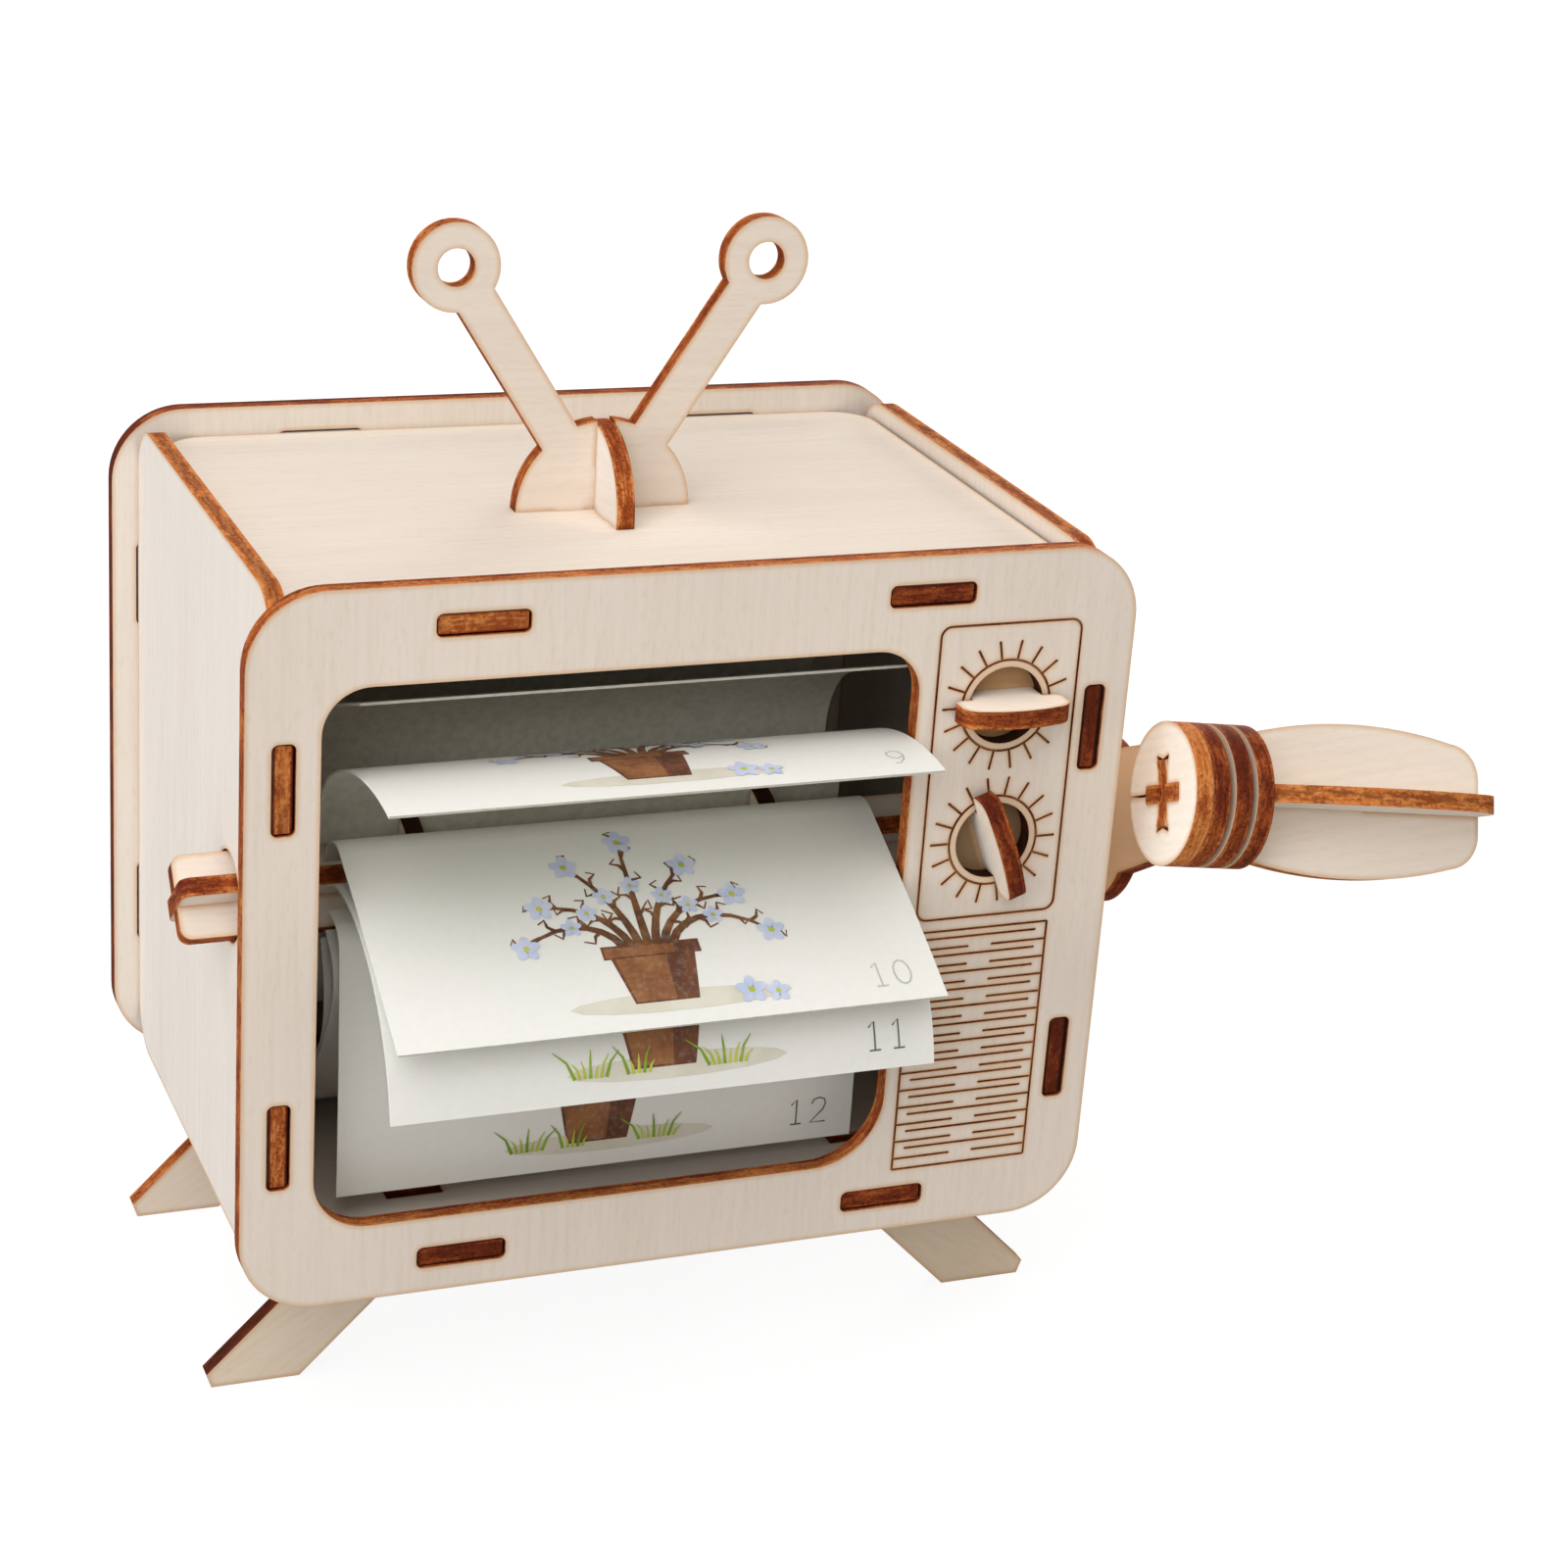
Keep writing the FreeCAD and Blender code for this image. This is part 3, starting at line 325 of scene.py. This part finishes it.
    def tab_soot(self):
        """Tab ends in the panels' slots: painted shade of the slot walls at their sides, and darker
        towards the panels' lower right.
        """
        offset = self.separate(self.vector("SUBTRACT", self.point, SHIFT))
        back_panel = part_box("back_panel")[0].y - SHIFT.y
        in_front = self.math("LESS_THAN", offset["Y"], PANEL_DEPTH)
        in_back = self.math("GREATER_THAN", offset["Y"], back_panel)
        right_and_down = self.math("SUBTRACT", offset["X"], offset["Z"])
        drift = self.ramp(right_and_down, -135 * MM, -20 * MM, -0.28, 0.38)
        # Painted shade of the slot walls on the tab ends' sides.
        sides = self.ramp(self.layer, 0.60, 0.95, 1.0, 3.0)
        darkening = self.math("MULTIPLY_ADD", self.given["Slot"], sides, drift)
        return self.math("MULTIPLY", self.math("MAXIMUM", in_front, in_back), darkening)

    def panel_soot(self):
        """Soot along the rear of the panels' edges, darker edges that face left, and painted shade
        in the knob holes.
        """
        rear = self.math("DIVIDE", self.through, self.given["Half"])
        rear = self.math("MULTIPLY_ADD", self.patch, 1.2, rear)
        left = self.separate(self.normal)["X"]
        left = self.ramp(left, -0.95, -0.3, 0.8, 0.0)
        darkening = self.math("MAXIMUM", self.ramp(rear, 0.8, 1.2), left)
        # Painted shade in the knob holes: cut walls near each knob's axis turn dark.
        for height in KNOB_HEIGHTS:
            knob = SHIFT + Vector((KNOB_X, 0.0, height)) * MM
            reach = self.vector("MULTIPLY", self.vector("SUBTRACT", self.point, knob), (1, 0, 1))
            near = self.math("LESS_THAN", self.vector("LENGTH", reach), KNOB_SHADE_REACH)
            darkening = self.math("MAXIMUM", darkening, self.math("MULTIPLY", near, 2.4))
        return darkening


PLYWOOD = Plywood().tree
UP, ACROSS = Vector((0, 0, 1)), Vector((1, 0, 0))
GRAIN = {  # the other sheets' grain runs along their longest line
    "front_panel": UP, "back_panel": UP, "side_left": UP, "side_right": UP,
    "top_plate": ACROSS, "bottom_plate": ACROSS, "antenna_front": ACROSS,
}
# How dark the laser left each piece's cut edges.
CHAR = {
    "grip_blade_tall": 0.12, "grip_blade_flat": 0.10, "snap_disc": 0.06,
    "antenna_cross": 0.42, "antenna_front": 0.45, "crank_arm": 0.66,
    "washer_inner": 0.78, "washer_outer": 0.70,
    "side_left": -0.06, "side_right": 0.08, "front_panel": 0.04, "back_panel": 0.5,
    "knob_blade_upper": 0.62, "knob_blade_lower": 0.82,
    "axle_blade_a": 0.62, "axle_blade_b": 0.62, "hub_left": 1.7, "hub_right": 1.7,
    "collar_left": 0.9, "collar_right": 0.9,
    "leg_front_left": 1.15, "leg_front_right": 0.9, "leg_rear_left": 0.42, "leg_rear_right": 0.7,
}
# How much of the brown core ply shows in them.
CORE = {
    "side_left": 0.7, "side_right": 1.0, "snap_disc": 0.15, "grip_blade_tall": 0.2,
    "grip_blade_flat": 0.2, "antenna_cross": 0.2,
}
# How much painted shade of the slot walls darkens the tab ends in the panels' slots.
SLOT = {"side_left": 0.56, "side_right": 0.46, "top_plate": 0.24, "bottom_plate": 0.10}
# Soot along the rear of the two panels' edges, darker edges that face left, and painted shade in
# their knob holes.
SOOT_AND_SHADE = {"front_panel": 0.6, "back_panel": 0.6}
# Face colours multiplied per piece: painted shade on the knob plates seen in the dial holes and on
# the crank arm behind the handle, painted light on the snap disc, and others a little paler,
# cleaner, warmer or cooler than the rest.
TONE = {
    # Painted shade on the two knob plates and the crank arm; painted light on the snap disc.
    "knob_plate_upper": (0.64, 0.44, 0.24, 1), "knob_plate_lower": (0.38, 0.28, 0.18, 1),
    "crank_arm": (1.0, 0.80, 0.58, 1), "snap_disc": (1.22, 1.27, 1.30, 1),
    "leg_front_left": (1.01, 0.965, 0.88, 1), "leg_front_right": (0.96, 0.90, 0.79, 1),
    "leg_rear_left": (1.02, 0.98, 0.92, 1), "leg_rear_right": (1.02, 0.98, 0.92, 1),
    "side_left": (1.0, 1.03, 1.08, 1), "back_panel": (0.97, 1.0, 1.02, 1),
    "antenna_cross": (0.94, 0.98, 1.03, 1), "grip_blade_tall": (1.08, 1.08, 1.08, 1),
    "knob_blade_upper": (1.18, 1.18, 1.18, 1), "knob_blade_lower": (1.10, 1.10, 1.10, 1),
}
SEED_STEP = 7.31


def sheet_of(mesh):
    """(normal, middle, half thickness, longest direction) of the sheet that a cut-out mesh is."""
    areas = {}
    for face in mesh.polygons:
        key = tuple(round(v, 2) + 0.0 for v in face.normal)
        area, total = areas.get(key, (0.0, Vector()))
        areas[key] = (area + face.area, total + face.normal * face.area)
    normal = max(areas.values(), key=lambda pair: pair[0])[1].normalized()
    heights = [v.co.dot(normal) for v in mesh.vertices]
    points = [v.co - normal * v.co.dot(normal) for v in mesh.vertices]
    first = max(points, key=lambda p: (p - points[0]).length)
    second = max(points, key=lambda p: (p - first).length)
    longest = (second - first).normalized()
    low, high = min(heights), max(heights)
    return normal, (high + low) / 2, (high - low) / 2, longest


def plywood(node, number):
    """The plywood material of one CAD node."""
    normal, middle, half, longest = sheet_of(CAD[node].data)
    if max(normal, key=abs) < 0:
        normal, middle = -normal, -middle
    grain = GRAIN.get(node, longest)
    grain = (grain - normal * grain.dot(normal)).normalized()
    settings = {
        "Normal": normal, "Grain": grain, "Cross": normal.cross(grain),
        "Middle": middle, "Half": half, "Seed": number * SEED_STEP,
        "Char": CHAR.get(node, 0.35), "Core": CORE.get(node, 0.5),
        "Slot": SLOT.get(node, 0.0), "Soot": SOOT_AND_SHADE.get(node, 0.0),
        "Vein": 0.75 if node.startswith("grip") else 0.15,
        "Burn": 0.35 if node == "front_panel" else 0.55,
        "Tone": TONE.get(node, (1, 1, 1, 1)),
    }
    made, g = new_material("plywood_" + node)
    group = g.node("Group", node_tree=PLYWOOD)
    for name, value in settings.items():
        group.inputs[name].default_value = value
    relief = {"Height": group.outputs["Height"], "Strength": 0.12, "Distance": 0.05 * MM}
    g.surface(g.node("BsdfPrincipled", {
        "Base Color": group.outputs["Color"], "Roughness": group.outputs["Roughness"],
        "Normal": g.node("Bump", relief).outputs[0], "IOR": 1.45, "Specular IOR Level": 0.12,
    }))
    return made


for number, name in enumerate(sorted(CAD)):
    if not name.startswith("card_"):
        CAD[name].data.materials.clear()
        CAD[name].data.materials.append(plywood(name, number))

# ---------------------------------------------------------------- paper cards

PAPER = srgb(238, 237, 232)
PAPER_FIBRE = srgb(229, 229, 221)
PAPER_CLOUD = srgb(228, 230, 222)
PAPER_SAGE = srgb(200, 205, 188)
UNPRINTED_AND_SHADE = srgb(204, 202, 190)
UNPRINTED_FIBRE_AND_SHADE = srgb(192, 190, 178)
SAGE_FROM, SAGE_TO = 32 * MM, 14 * MM  # the sage tint, partly print and partly painted shade near the axle, grows from one radius to the other


def paper_material():
    """Matt card with a sage tint towards the axle, partly print and partly painted shade, its
    unprinted side a little greyer, partly uncoated board and partly painted shade.
    """
    made, g = new_material("card_paper")
    place = g.place()
    fibre = g.noise(place, 900.0, detail=3.0)
    cloud = g.noise(place, 35.0)
    tint = g.mix(g.ramp(fibre, 0.35, 0.7, 0.0, 0.25), PAPER, PAPER_FIBRE)
    tint = g.mix(g.ramp(cloud, 0.35, 0.7, 0.0, 0.2), tint, PAPER_CLOUD)
    axle = SHIFT + Vector((0, AXLE_Y, AXLE_Z)) * MM
    off_axle = g.vector("MULTIPLY", g.vector("SUBTRACT", place, axle), (0, 1, 1))
    radius = g.vector("LENGTH", off_axle)
    # Sage tint towards the axle: partly print, partly painted shade between the cards.
    tint = g.mix(g.ramp(radius, SAGE_TO, SAGE_FROM, 0.26, 0.0), tint, PAPER_SAGE)
    # The unprinted side faces the way that the drum turns.
    ahead = g.vector("CROSS_PRODUCT", (1, 0, 0), g.vector("NORMALIZE", off_axle))
    unprinted = g.ramp(g.vector("DOT_PRODUCT", g.mesh_normal(), ahead), 0.0, 0.15)
    # The unprinted side's greyer colour is partly uncoated board and partly painted shade of the
    # cards' undersides.
    back_grey_and_shade = g.mix(g.ramp(fibre, 0.35, 0.7), UNPRINTED_AND_SHADE, UNPRINTED_FIBRE_AND_SHADE)
    relief = {"Height": fibre, "Strength": 0.08, "Distance": 0.03 * MM}
    g.surface(g.node("BsdfPrincipled", {
        "Base Color": g.mix(unprinted, tint, back_grey_and_shade), "Roughness": 0.62,
        "Normal": g.node("Bump", relief).outputs[0], "Specular IOR Level": 0.3,
    }))
    return made


paper = paper_material()
for name, node in CAD.items():
    if name.startswith("card_"):
        node.data.materials.clear()
        node.data.materials.append(paper)

# ---------------------------------------------------------------- card prints

# The cards as part.py has them, in mm: straight from the root to the bend, then the bend's
# radius, the lean after it in degrees, and the radius of the long curl.
CARDS = range(1, 13)
CARD_LEFT, CARD_LENGTH, CARD_THICKNESS = -44.8, 42.6, 0.35
CARD_ROOT, BEND_START = 6.6, 9.7
FIRST_ANGLE, CARD_STEP = 55.4, 30.0  # of card 10, from the viewer's side upwards
CARD_SHAPES = {1: (5, 80, 63), 9: (11, 53, 40), 10: (5, 80, 400), 11: (5, 20, 26), 12: (3, 81, 400)}
RESTING = (13, 92, 266)

PRINT_LIFT, LEVEL_LIFT = 0.03, 0.006  # mm over the paper, and of each level over the one below
STRIP = 1.5  # mm: prints are cut into strips this high, which then follow the curl
POT_X, POT_Y = 36.0, 4.0  # the middle of the pot's foot
BARE = (9, 10, 11)  # cards whose plant has no leaves
FLOWERING = (9, 10)
DARK_NUMBERS = (11, 12)
OVAL_POINTS = 14


def on_card(index, across, up, lift):
    """A point over the printed face, mm across from its left edge and up from its free edge."""
    bend, lean, curl = CARD_SHAPES.get(index, RESTING)
    lean = math.radians(lean)
    run = CARD_LENGTH - up - (BEND_START - CARD_ROOT)
    centre, radius, angle = Vector((BEND_START, bend)), bend, run / bend - math.pi / 2
    if run > bend * lean:
        outward = Vector((math.sin(lean), -math.cos(lean)))
        centre, radius = centre + outward * (bend - curl), curl
        angle = lean - math.pi / 2 + (run - bend * lean) / curl
    if run < 0:
        centre, angle = centre + Vector((run, 0)), -math.pi / 2
    direction = Vector((math.cos(angle), math.sin(angle)))
    place = centre + direction * (radius + CARD_THICKNESS / 2 + lift)
    turn = math.radians(FIRST_ANGLE + CARD_STEP * (10 - index))
    return SHIFT + MM * Vector((
        CARD_LEFT + across,
        AXLE_Y - place.x * math.cos(turn) - place.y * math.sin(turn),
        AXLE_Z + place.x * math.sin(turn) - place.y * math.cos(turn),
    ))


def ink(name, light, dark):
    """A matt printed colour with a fine grain."""
    made, g = new_material("print_" + name)
    place = g.place()
    grain = g.noise(place, 1400.0)
    wash = g.noise(place, 260.0)
    tint = g.mix(g.ramp(wash, 0.35, 0.65), srgb(*dark), srgb(*light))
    tint = g.mix(g.ramp(grain, 0.45, 0.8, 0.0, 0.10), tint, srgb(225, 224, 216))
    g.surface(g.node("BsdfPrincipled", {
        "Base Color": tint, "Roughness": 0.6, "Specular IOR Level": 0.3,
    }))
    return made


INK_COLOURS = {  # light, dark
    "ground": ((222, 217, 203), (214, 209, 192)),
    "stem": ((126, 84, 48), (92, 58, 34)),
    "pot": ((150, 100, 60), (128, 80, 46)),
    "pot_dark": ((112, 68, 42), (88, 52, 34)),
    "leaf": ((146, 176, 42), (116, 150, 30)),
    "leaf_dark": ((104, 134, 30), (84, 112, 26)),
    "grass": ((196, 202, 84), (170, 184, 60)),
    "blossom": ((206, 214, 236), (190, 200, 226)),
    "number": ((104, 108, 104), (84, 88, 86)),
    "pale": ((196, 194, 184), (184, 183, 174)),
}
INK_NAMES = sorted(INK_COLOURS)
INKS = [ink(name, *INK_COLOURS[name]) for name in INK_NAMES]

TWELFTH = 0.5236  # radians in a twelfth of a turn
DIGITS = {  # thin figures in a box 2 wide and 3 high
    "0": [[(1 + math.sin(t * TWELFTH), 1.5 - 1.5 * math.cos(t * TWELFTH)) for t in range(13)]],
    "1": [[(0.4, 2.4), (1.1, 3), (1.1, 0)], [(0.4, 0), (1.8, 0)]],
    "2": [[(0.1, 2.3), (0.35, 2.8), (1, 3), (1.7, 2.8), (1.9, 2.2), (1.6, 1.5), (0, 0), (2, 0)]],
    "3": [[(0.1, 2.6), (0.6, 3), (1.3, 3), (1.8, 2.6), (1.8, 2), (1.3, 1.6), (0.8, 1.6)],
          [(1.3, 1.6), (1.95, 1.2), (1.95, 0.5), (1.4, 0), (0.6, 0), (0, 0.5)]],
    "4": [[(1.5, 0), (1.5, 3), (0, 0.9), (2, 0.9)]],
    "5": [[(1.8, 3), (0.3, 3), (0.15, 1.6), (1, 1.9), (1.7, 1.6), (1.95, 0.95), (1.6, 0.25),
           (0.9, 0), (0, 0.4)]],
    "6": [[(1.7, 2.9), (1, 2.8), (0.3, 2), (0.05, 1), (0.3, 0.25), (1, 0), (1.7, 0.25),
           (1.95, 0.95), (1.6, 1.6), (1, 1.8), (0.3, 1.5)]],
    "7": [[(0, 3), (2, 3), (0.8, 0)]],
    "8": [[(1, 1.6), (0.3, 1.95), (0.2, 2.5), (0.6, 3), (1.4, 3), (1.8, 2.5), (1.7, 1.95),
           (1, 1.6), (0.2, 1.2), (0, 0.6), (0.4, 0.1), (1, 0), (1.6, 0.1), (2, 0.6), (1.8, 1.2),
           (1, 1.6)]],
    "9": [[(0.3, 0.1), (1, 0.2), (1.7, 1), (1.95, 2), (1.7, 2.75), (1, 3), (0.3, 2.75),
           (0.05, 2.05), (0.4, 1.4), (1, 1.2), (1.7, 1.5)]],
}


def polar(start, length, angle):
    return (start[0] + length * math.cos(angle), start[1] + length * math.sin(angle))


class Drawing:
    """Flat polygons in mm on a card, each in an ink and on a level above those under it."""

    def __init__(self):
        self.shapes = []

    def add(self, tone, level, points):
        self.shapes.append((tone, level, [Vector(point) for point in points]))

    def stroke(self, tone, level, points, start, end):
        """A line that tapers from one width to the other."""
        points = [Vector(point) for point in points]
        sides = []
        for i, point in enumerate(points):
            run = points[min(i + 1, len(points) - 1)] - points[max(i - 1, 0)]
            half = (start + (end - start) * i / (len(points) - 1)) / 2
            off = Vector((-run.y, run.x)).normalized() * half
            sides.append((point + off, point - off))
        for (a, b), (c, d) in zip(sides, sides[1:]):
            self.add(tone, level, (a, b, d, c))

    def oval(self, tone, level, middle, length, width, angle=0.0, point=0.0):
        """An ellipse, or a leaf where point is 1."""
        ring = []
        for i in range(OVAL_POINTS):
            t = 2 * math.pi * i / OVAL_POINTS
            narrow = abs(math.sin(t)) ** (1 + 0.6 * point)
            x, y = math.cos(t) * length / 2, math.copysign(narrow, math.sin(t)) * width / 2
            ring.append((middle[0] + x * math.cos(angle) - y * math.sin(angle),
                         middle[1] + x * math.sin(angle) + y * math.cos(angle)))
        self.add(tone, level, ring)

    def box(self, tone, level, left, right, low, high):
        self.add(tone, level, [(left, low), (right, low), (right, high), (left, high)])

    def leaf(self, level, foot, angle, length):
        tip = polar(foot, length, angle)
        middle = ((foot[0] + tip[0]) / 2, (foot[1] + tip[1]) / 2)
        self.oval("leaf_dark", level, middle, length, length * 0.44, angle, 1.0)
        lit = polar(middle, 0.07 * length, angle + math.pi / 2)
        self.oval("leaf", level + 1, lit, length * 0.86, length * 0.24, angle, 1.0)

    def blossom(self, level, middle, size):
        for petal in range(5):
            angle = 2 * math.pi * petal / 5 + 0.3
            at = polar(middle, size * 0.3, angle)
            self.oval("blossom", level, at, size * 0.62, size * 0.42, angle)
        self.oval("grass", level + 1, middle, size * 0.26, size * 0.26)

    def pot(self, base):
        """A tapered pot with a rim, lit from the left."""
        self.add("pot_dark", 2, [(POT_X - 4.2, base), (POT_X + 4.4, base),
                                 (POT_X + 5.9, base + 8), (POT_X - 5.7, base + 8)])
        self.add("pot", 3, [(POT_X - 3.9, base + 0.3), (POT_X + 1.4, base + 0.3),
                            (POT_X + 1.9, base + 8), (POT_X - 5.2, base + 8)])
        self.box("pot_dark", 4, POT_X - 6.5, POT_X + 6.7, base + 7.2, base + 9.3)
        self.box("pot", 5, POT_X - 6.2, POT_X + 3.2, base + 7.5, base + 9)

    def plant(self, index, base):
        """Seven stems that fan out of the pot, with leaves or with bare twigs."""
        grown = min(1.0, 0.25 + 0.14 * index)
        for stem in range(-3, 4):
            uneven = 1.0 + 0.06 * math.sin(index * 2.1 + stem * 1.7)
            reach = (16.5 - 1.1 * abs(stem)) * grown * uneven
            sway = 0.30 * stem + 0.05 * math.sin(index * 0.9)
            line = []
            for i in range(8):
                t = i / 7
                bow = sway * (0.45 + 1.1 * t)
                line.append((POT_X + stem * 1.1 + reach * t * math.sin(bow),
                             base + 9 + reach * t * math.cos(bow) - 0.5 * abs(stem) * t * t))
            self.stroke("stem", 6, line, 1.25, 0.35)
            for i in range(2, 8):
                side = -1 if (i + stem) % 2 else 1
                angle = math.pi / 2 - sway * 1.6 - side * (0.95 - 0.08 * i)
                if index in BARE:
                    joints = ((0, 0), (1.2, 0.0), (2.2, -0.35), (3.4 - 0.2 * i, 0.15))
                    twig = [polar(line[i], r, angle + side * bend) for r, bend in joints]
                    self.stroke("stem", 6, twig, 0.6, 0.2)
                else:
                    length = (5.6 - 0.35 * i) * (0.45 + 0.55 * grown)
                    self.leaf(7 + 2 * (i % 2), line[i], angle, length)
            if index in FLOWERING:
                self.blossom(12, line[-1], 3.3)
                self.blossom(12, line[4], 2.4)

    def grass(self, index, base):
        for tuft, blades in ((POT_X - 9.5, 7), (POT_X + 9.0, 8), (POT_X - 3.0, 5)):
            for blade in range(blades):
                lean = 0.16 * (blade - (blades - 1) / 2) + 0.05 * math.sin(index + blade)
                height = 2.6 + 1.1 * math.sin(blade * 2.3 + tuft)
                x, y = tuft + 0.7 * (blade - blades / 2), base - 0.5
                points = [(x, y), (x + 0.5 * height * lean, y + 0.6 * height),
                          (x + height * lean * 1.4, y + height)]
                self.stroke("grass" if blade % 3 else "leaf", 14, points, 0.5, 0.1)

    def number(self, index):
        tone = "number" if index in DARK_NUMBERS else "pale"
        for column, digit in enumerate(reversed(str(index))):
            for line in DIGITS[digit]:
                points = [(67.4 - 3.4 * column + x * 1.15, 2.6 + y * 1.25) for x, y in line]
                self.stroke(tone, 2, points, 0.24, 0.24)


def draw_card(index):
    """One of twelve pictures of a potted plant that sprouts, leafs, dries and flowers."""
    art = Drawing()
    base = POT_Y + 0.35 * math.sin(index)
    art.oval("ground", 0, (POT_X + 2, base), 30, 3.2)
    art.pot(base)
    art.plant(index, base)
    if index not in FLOWERING:
        art.grass(index, base)
    else:
        art.blossom(14, (POT_X + 11.5, base + 0.4), 3.6)
        art.blossom(14, (POT_X + 15.0, base - 0.2), 2.8)
    art.number(index)
    return art


def print_card(index):
    """Lay a card's picture over the card as thin decals."""
    flat = bmesh.new()
    for tone, level, ring in draw_card(index).shapes:
        lift = PRINT_LIFT + LEVEL_LIFT * level
        face = flat.faces.new([flat.verts.new((point.x, point.y, lift)) for point in ring])
        face.material_index = INK_NAMES.index(tone)
    bmesh.ops.triangulate(flat, faces=flat.faces[:])
    for strip in range(1, int(CARD_LENGTH / STRIP)):
        bmesh.ops.bisect_plane(
            flat, geom=flat.verts[:] + flat.edges[:] + flat.faces[:],
            plane_co=(0, strip * STRIP, 0), plane_no=(0, 1, 0),
        )
    bmesh.ops.triangulate(flat, faces=flat.faces[:])
    for vertex in flat.verts:
        vertex.co = on_card(index, *vertex.co)
    mesh = bpy.data.meshes.new(f"print_{index:02d}")
    flat.to_mesh(mesh)
    flat.free()
    for material in INKS:
        mesh.materials.append(material)
    picture = bpy.data.objects.new(f"print_{index:02d}", mesh)
    bpy.context.scene.collection.objects.link(picture)
    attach(picture, "drum")


for index in CARDS:
    print_card(index)

# ---------------------------------------------------------------- light and floor

WHITE, WARM_WHITE, COOL_WHITE = (1.0, 0.99, 0.975), (1.0, 0.99, 0.97), (0.94, 0.975, 1.0)
WARM = (1.0, 0.84, 0.64)
LAMPS = {  # place, side of the square, watts, colour
    "key": ((-0.6, -0.8, 0.7), 0.8, 5.9, WARM_WHITE),
    "overhead": ((-0.15, -0.15, 1.0), 1.1, 6.8, WHITE),
    "left": ((-1.0, -0.2, 0.35), 0.8, 2.6, COOL_WHITE),
    "low_left": ((-1.0, -0.3, 0.10), 0.5, 3.0, COOL_WHITE),
    "warm_fill": ((0.7, -1.0, 0.25), 0.8, 1.2, WARM),
    "behind": ((1.25, 1.05, 0.30), 0.9, 25.0, WHITE),
}
LAMP_AIM = Vector((0, 0, 0.06))
WORLD_LIGHT = 0.12
FLOOR_SIZE, FLOOR_DROP = 6.0, 0.0001
FLOOR_LIGHT, FLOOR_SHADOW = (0.55, 0.55, 0.55, 1), (0.14, 0.14, 0.14, 1)
GLOW_FROM, GLOW_TO = 0.16, 0.5  # the floor whitens between these distances from the middle

for name, (place, side, watts, colour) in LAMPS.items():
    lamp = bpy.data.lights.new(name, "AREA")
    lamp.shape, lamp.size, lamp.energy, lamp.color = "SQUARE", side, watts, colour
    holder = bpy.data.objects.new(name, lamp)
    holder.location = place
    holder.rotation_euler = (LAMP_AIM - Vector(place)).to_track_quat("-Z", "Y").to_euler()
    bpy.context.scene.collection.objects.link(holder)

# The world is dim as a light, and white where it is seen, mirrored or looked through.
world = bpy.data.worlds.new("white_room")
bpy.context.scene.world = world
world.use_nodes = True
world.node_tree.nodes.clear()
g = Graph(world.node_tree)
rays = g.node("LightPath").outputs
seen = g.math("MAXIMUM", rays["Is Glossy Ray"], rays["Is Transmission Ray"])
seen = g.math("MAXIMUM", rays["Is Camera Ray"], seen)
strength = g.math("MULTIPLY_ADD", seen, 1.0 - WORLD_LIGHT, WORLD_LIGHT)
background = g.node("Background", {"Color": (1, 1, 1, 1), "Strength": strength})
g.node("OutputWorld", {"Surface": background.outputs[0]})

# The floor glows near white for the camera, over a dark diffuse part that keeps the shadow.
bpy.ops.mesh.primitive_plane_add(size=FLOOR_SIZE, location=(0, 0, -FLOOR_DROP))
floor = bpy.context.object
floor.name = "floor"
white, g = new_material("floor_white")
glow = g.ramp(g.vector("LENGTH", g.place()), GLOW_FROM, GLOW_TO, 0.90, 1.0)
glow = g.node("Emission", {"Color": (1, 1, 1, 1), "Strength": glow})
shadow = g.node("BsdfDiffuse", {"Color": FLOOR_SHADOW})
for_camera = g.node("AddShader", {0: shadow.outputs[0], 1: glow.outputs[0]})
for_light = g.node("BsdfDiffuse", {"Color": FLOOR_LIGHT})
camera_ray = g.node("LightPath").outputs["Is Camera Ray"]
g.surface(g.node("MixShader", {0: camera_ray, 1: for_light.outputs[0], 2: for_camera.outputs[0]}))
floor.data.materials.append(white)

# ---------------------------------------------------------------- camera

# Fitted to the photograph by the corners of the panels, plates and slots.
CAMERA_PLACE = Vector((-150.108, -377.786, 230.843))
CAMERA_TURN = (1.193215, -0.067601, -0.376574)
FOCAL_LENGTH, SENSOR_WIDTH = 78.2455, 36.0

lens = bpy.data.cameras.new("camera")
lens.lens, lens.sensor_width, lens.sensor_fit = FOCAL_LENGTH, SENSOR_WIDTH, "AUTO"
lens.clip_start, lens.clip_end = 0.01, 20.0
camera = bpy.data.objects.new("camera", lens)
camera.location = SHIFT + CAMERA_PLACE * MM
camera.rotation_euler = CAMERA_TURN
bpy.context.scene.collection.objects.link(camera)
bpy.context.scene.camera = camera
bpy.context.scene.view_settings.view_transform = "Standard"
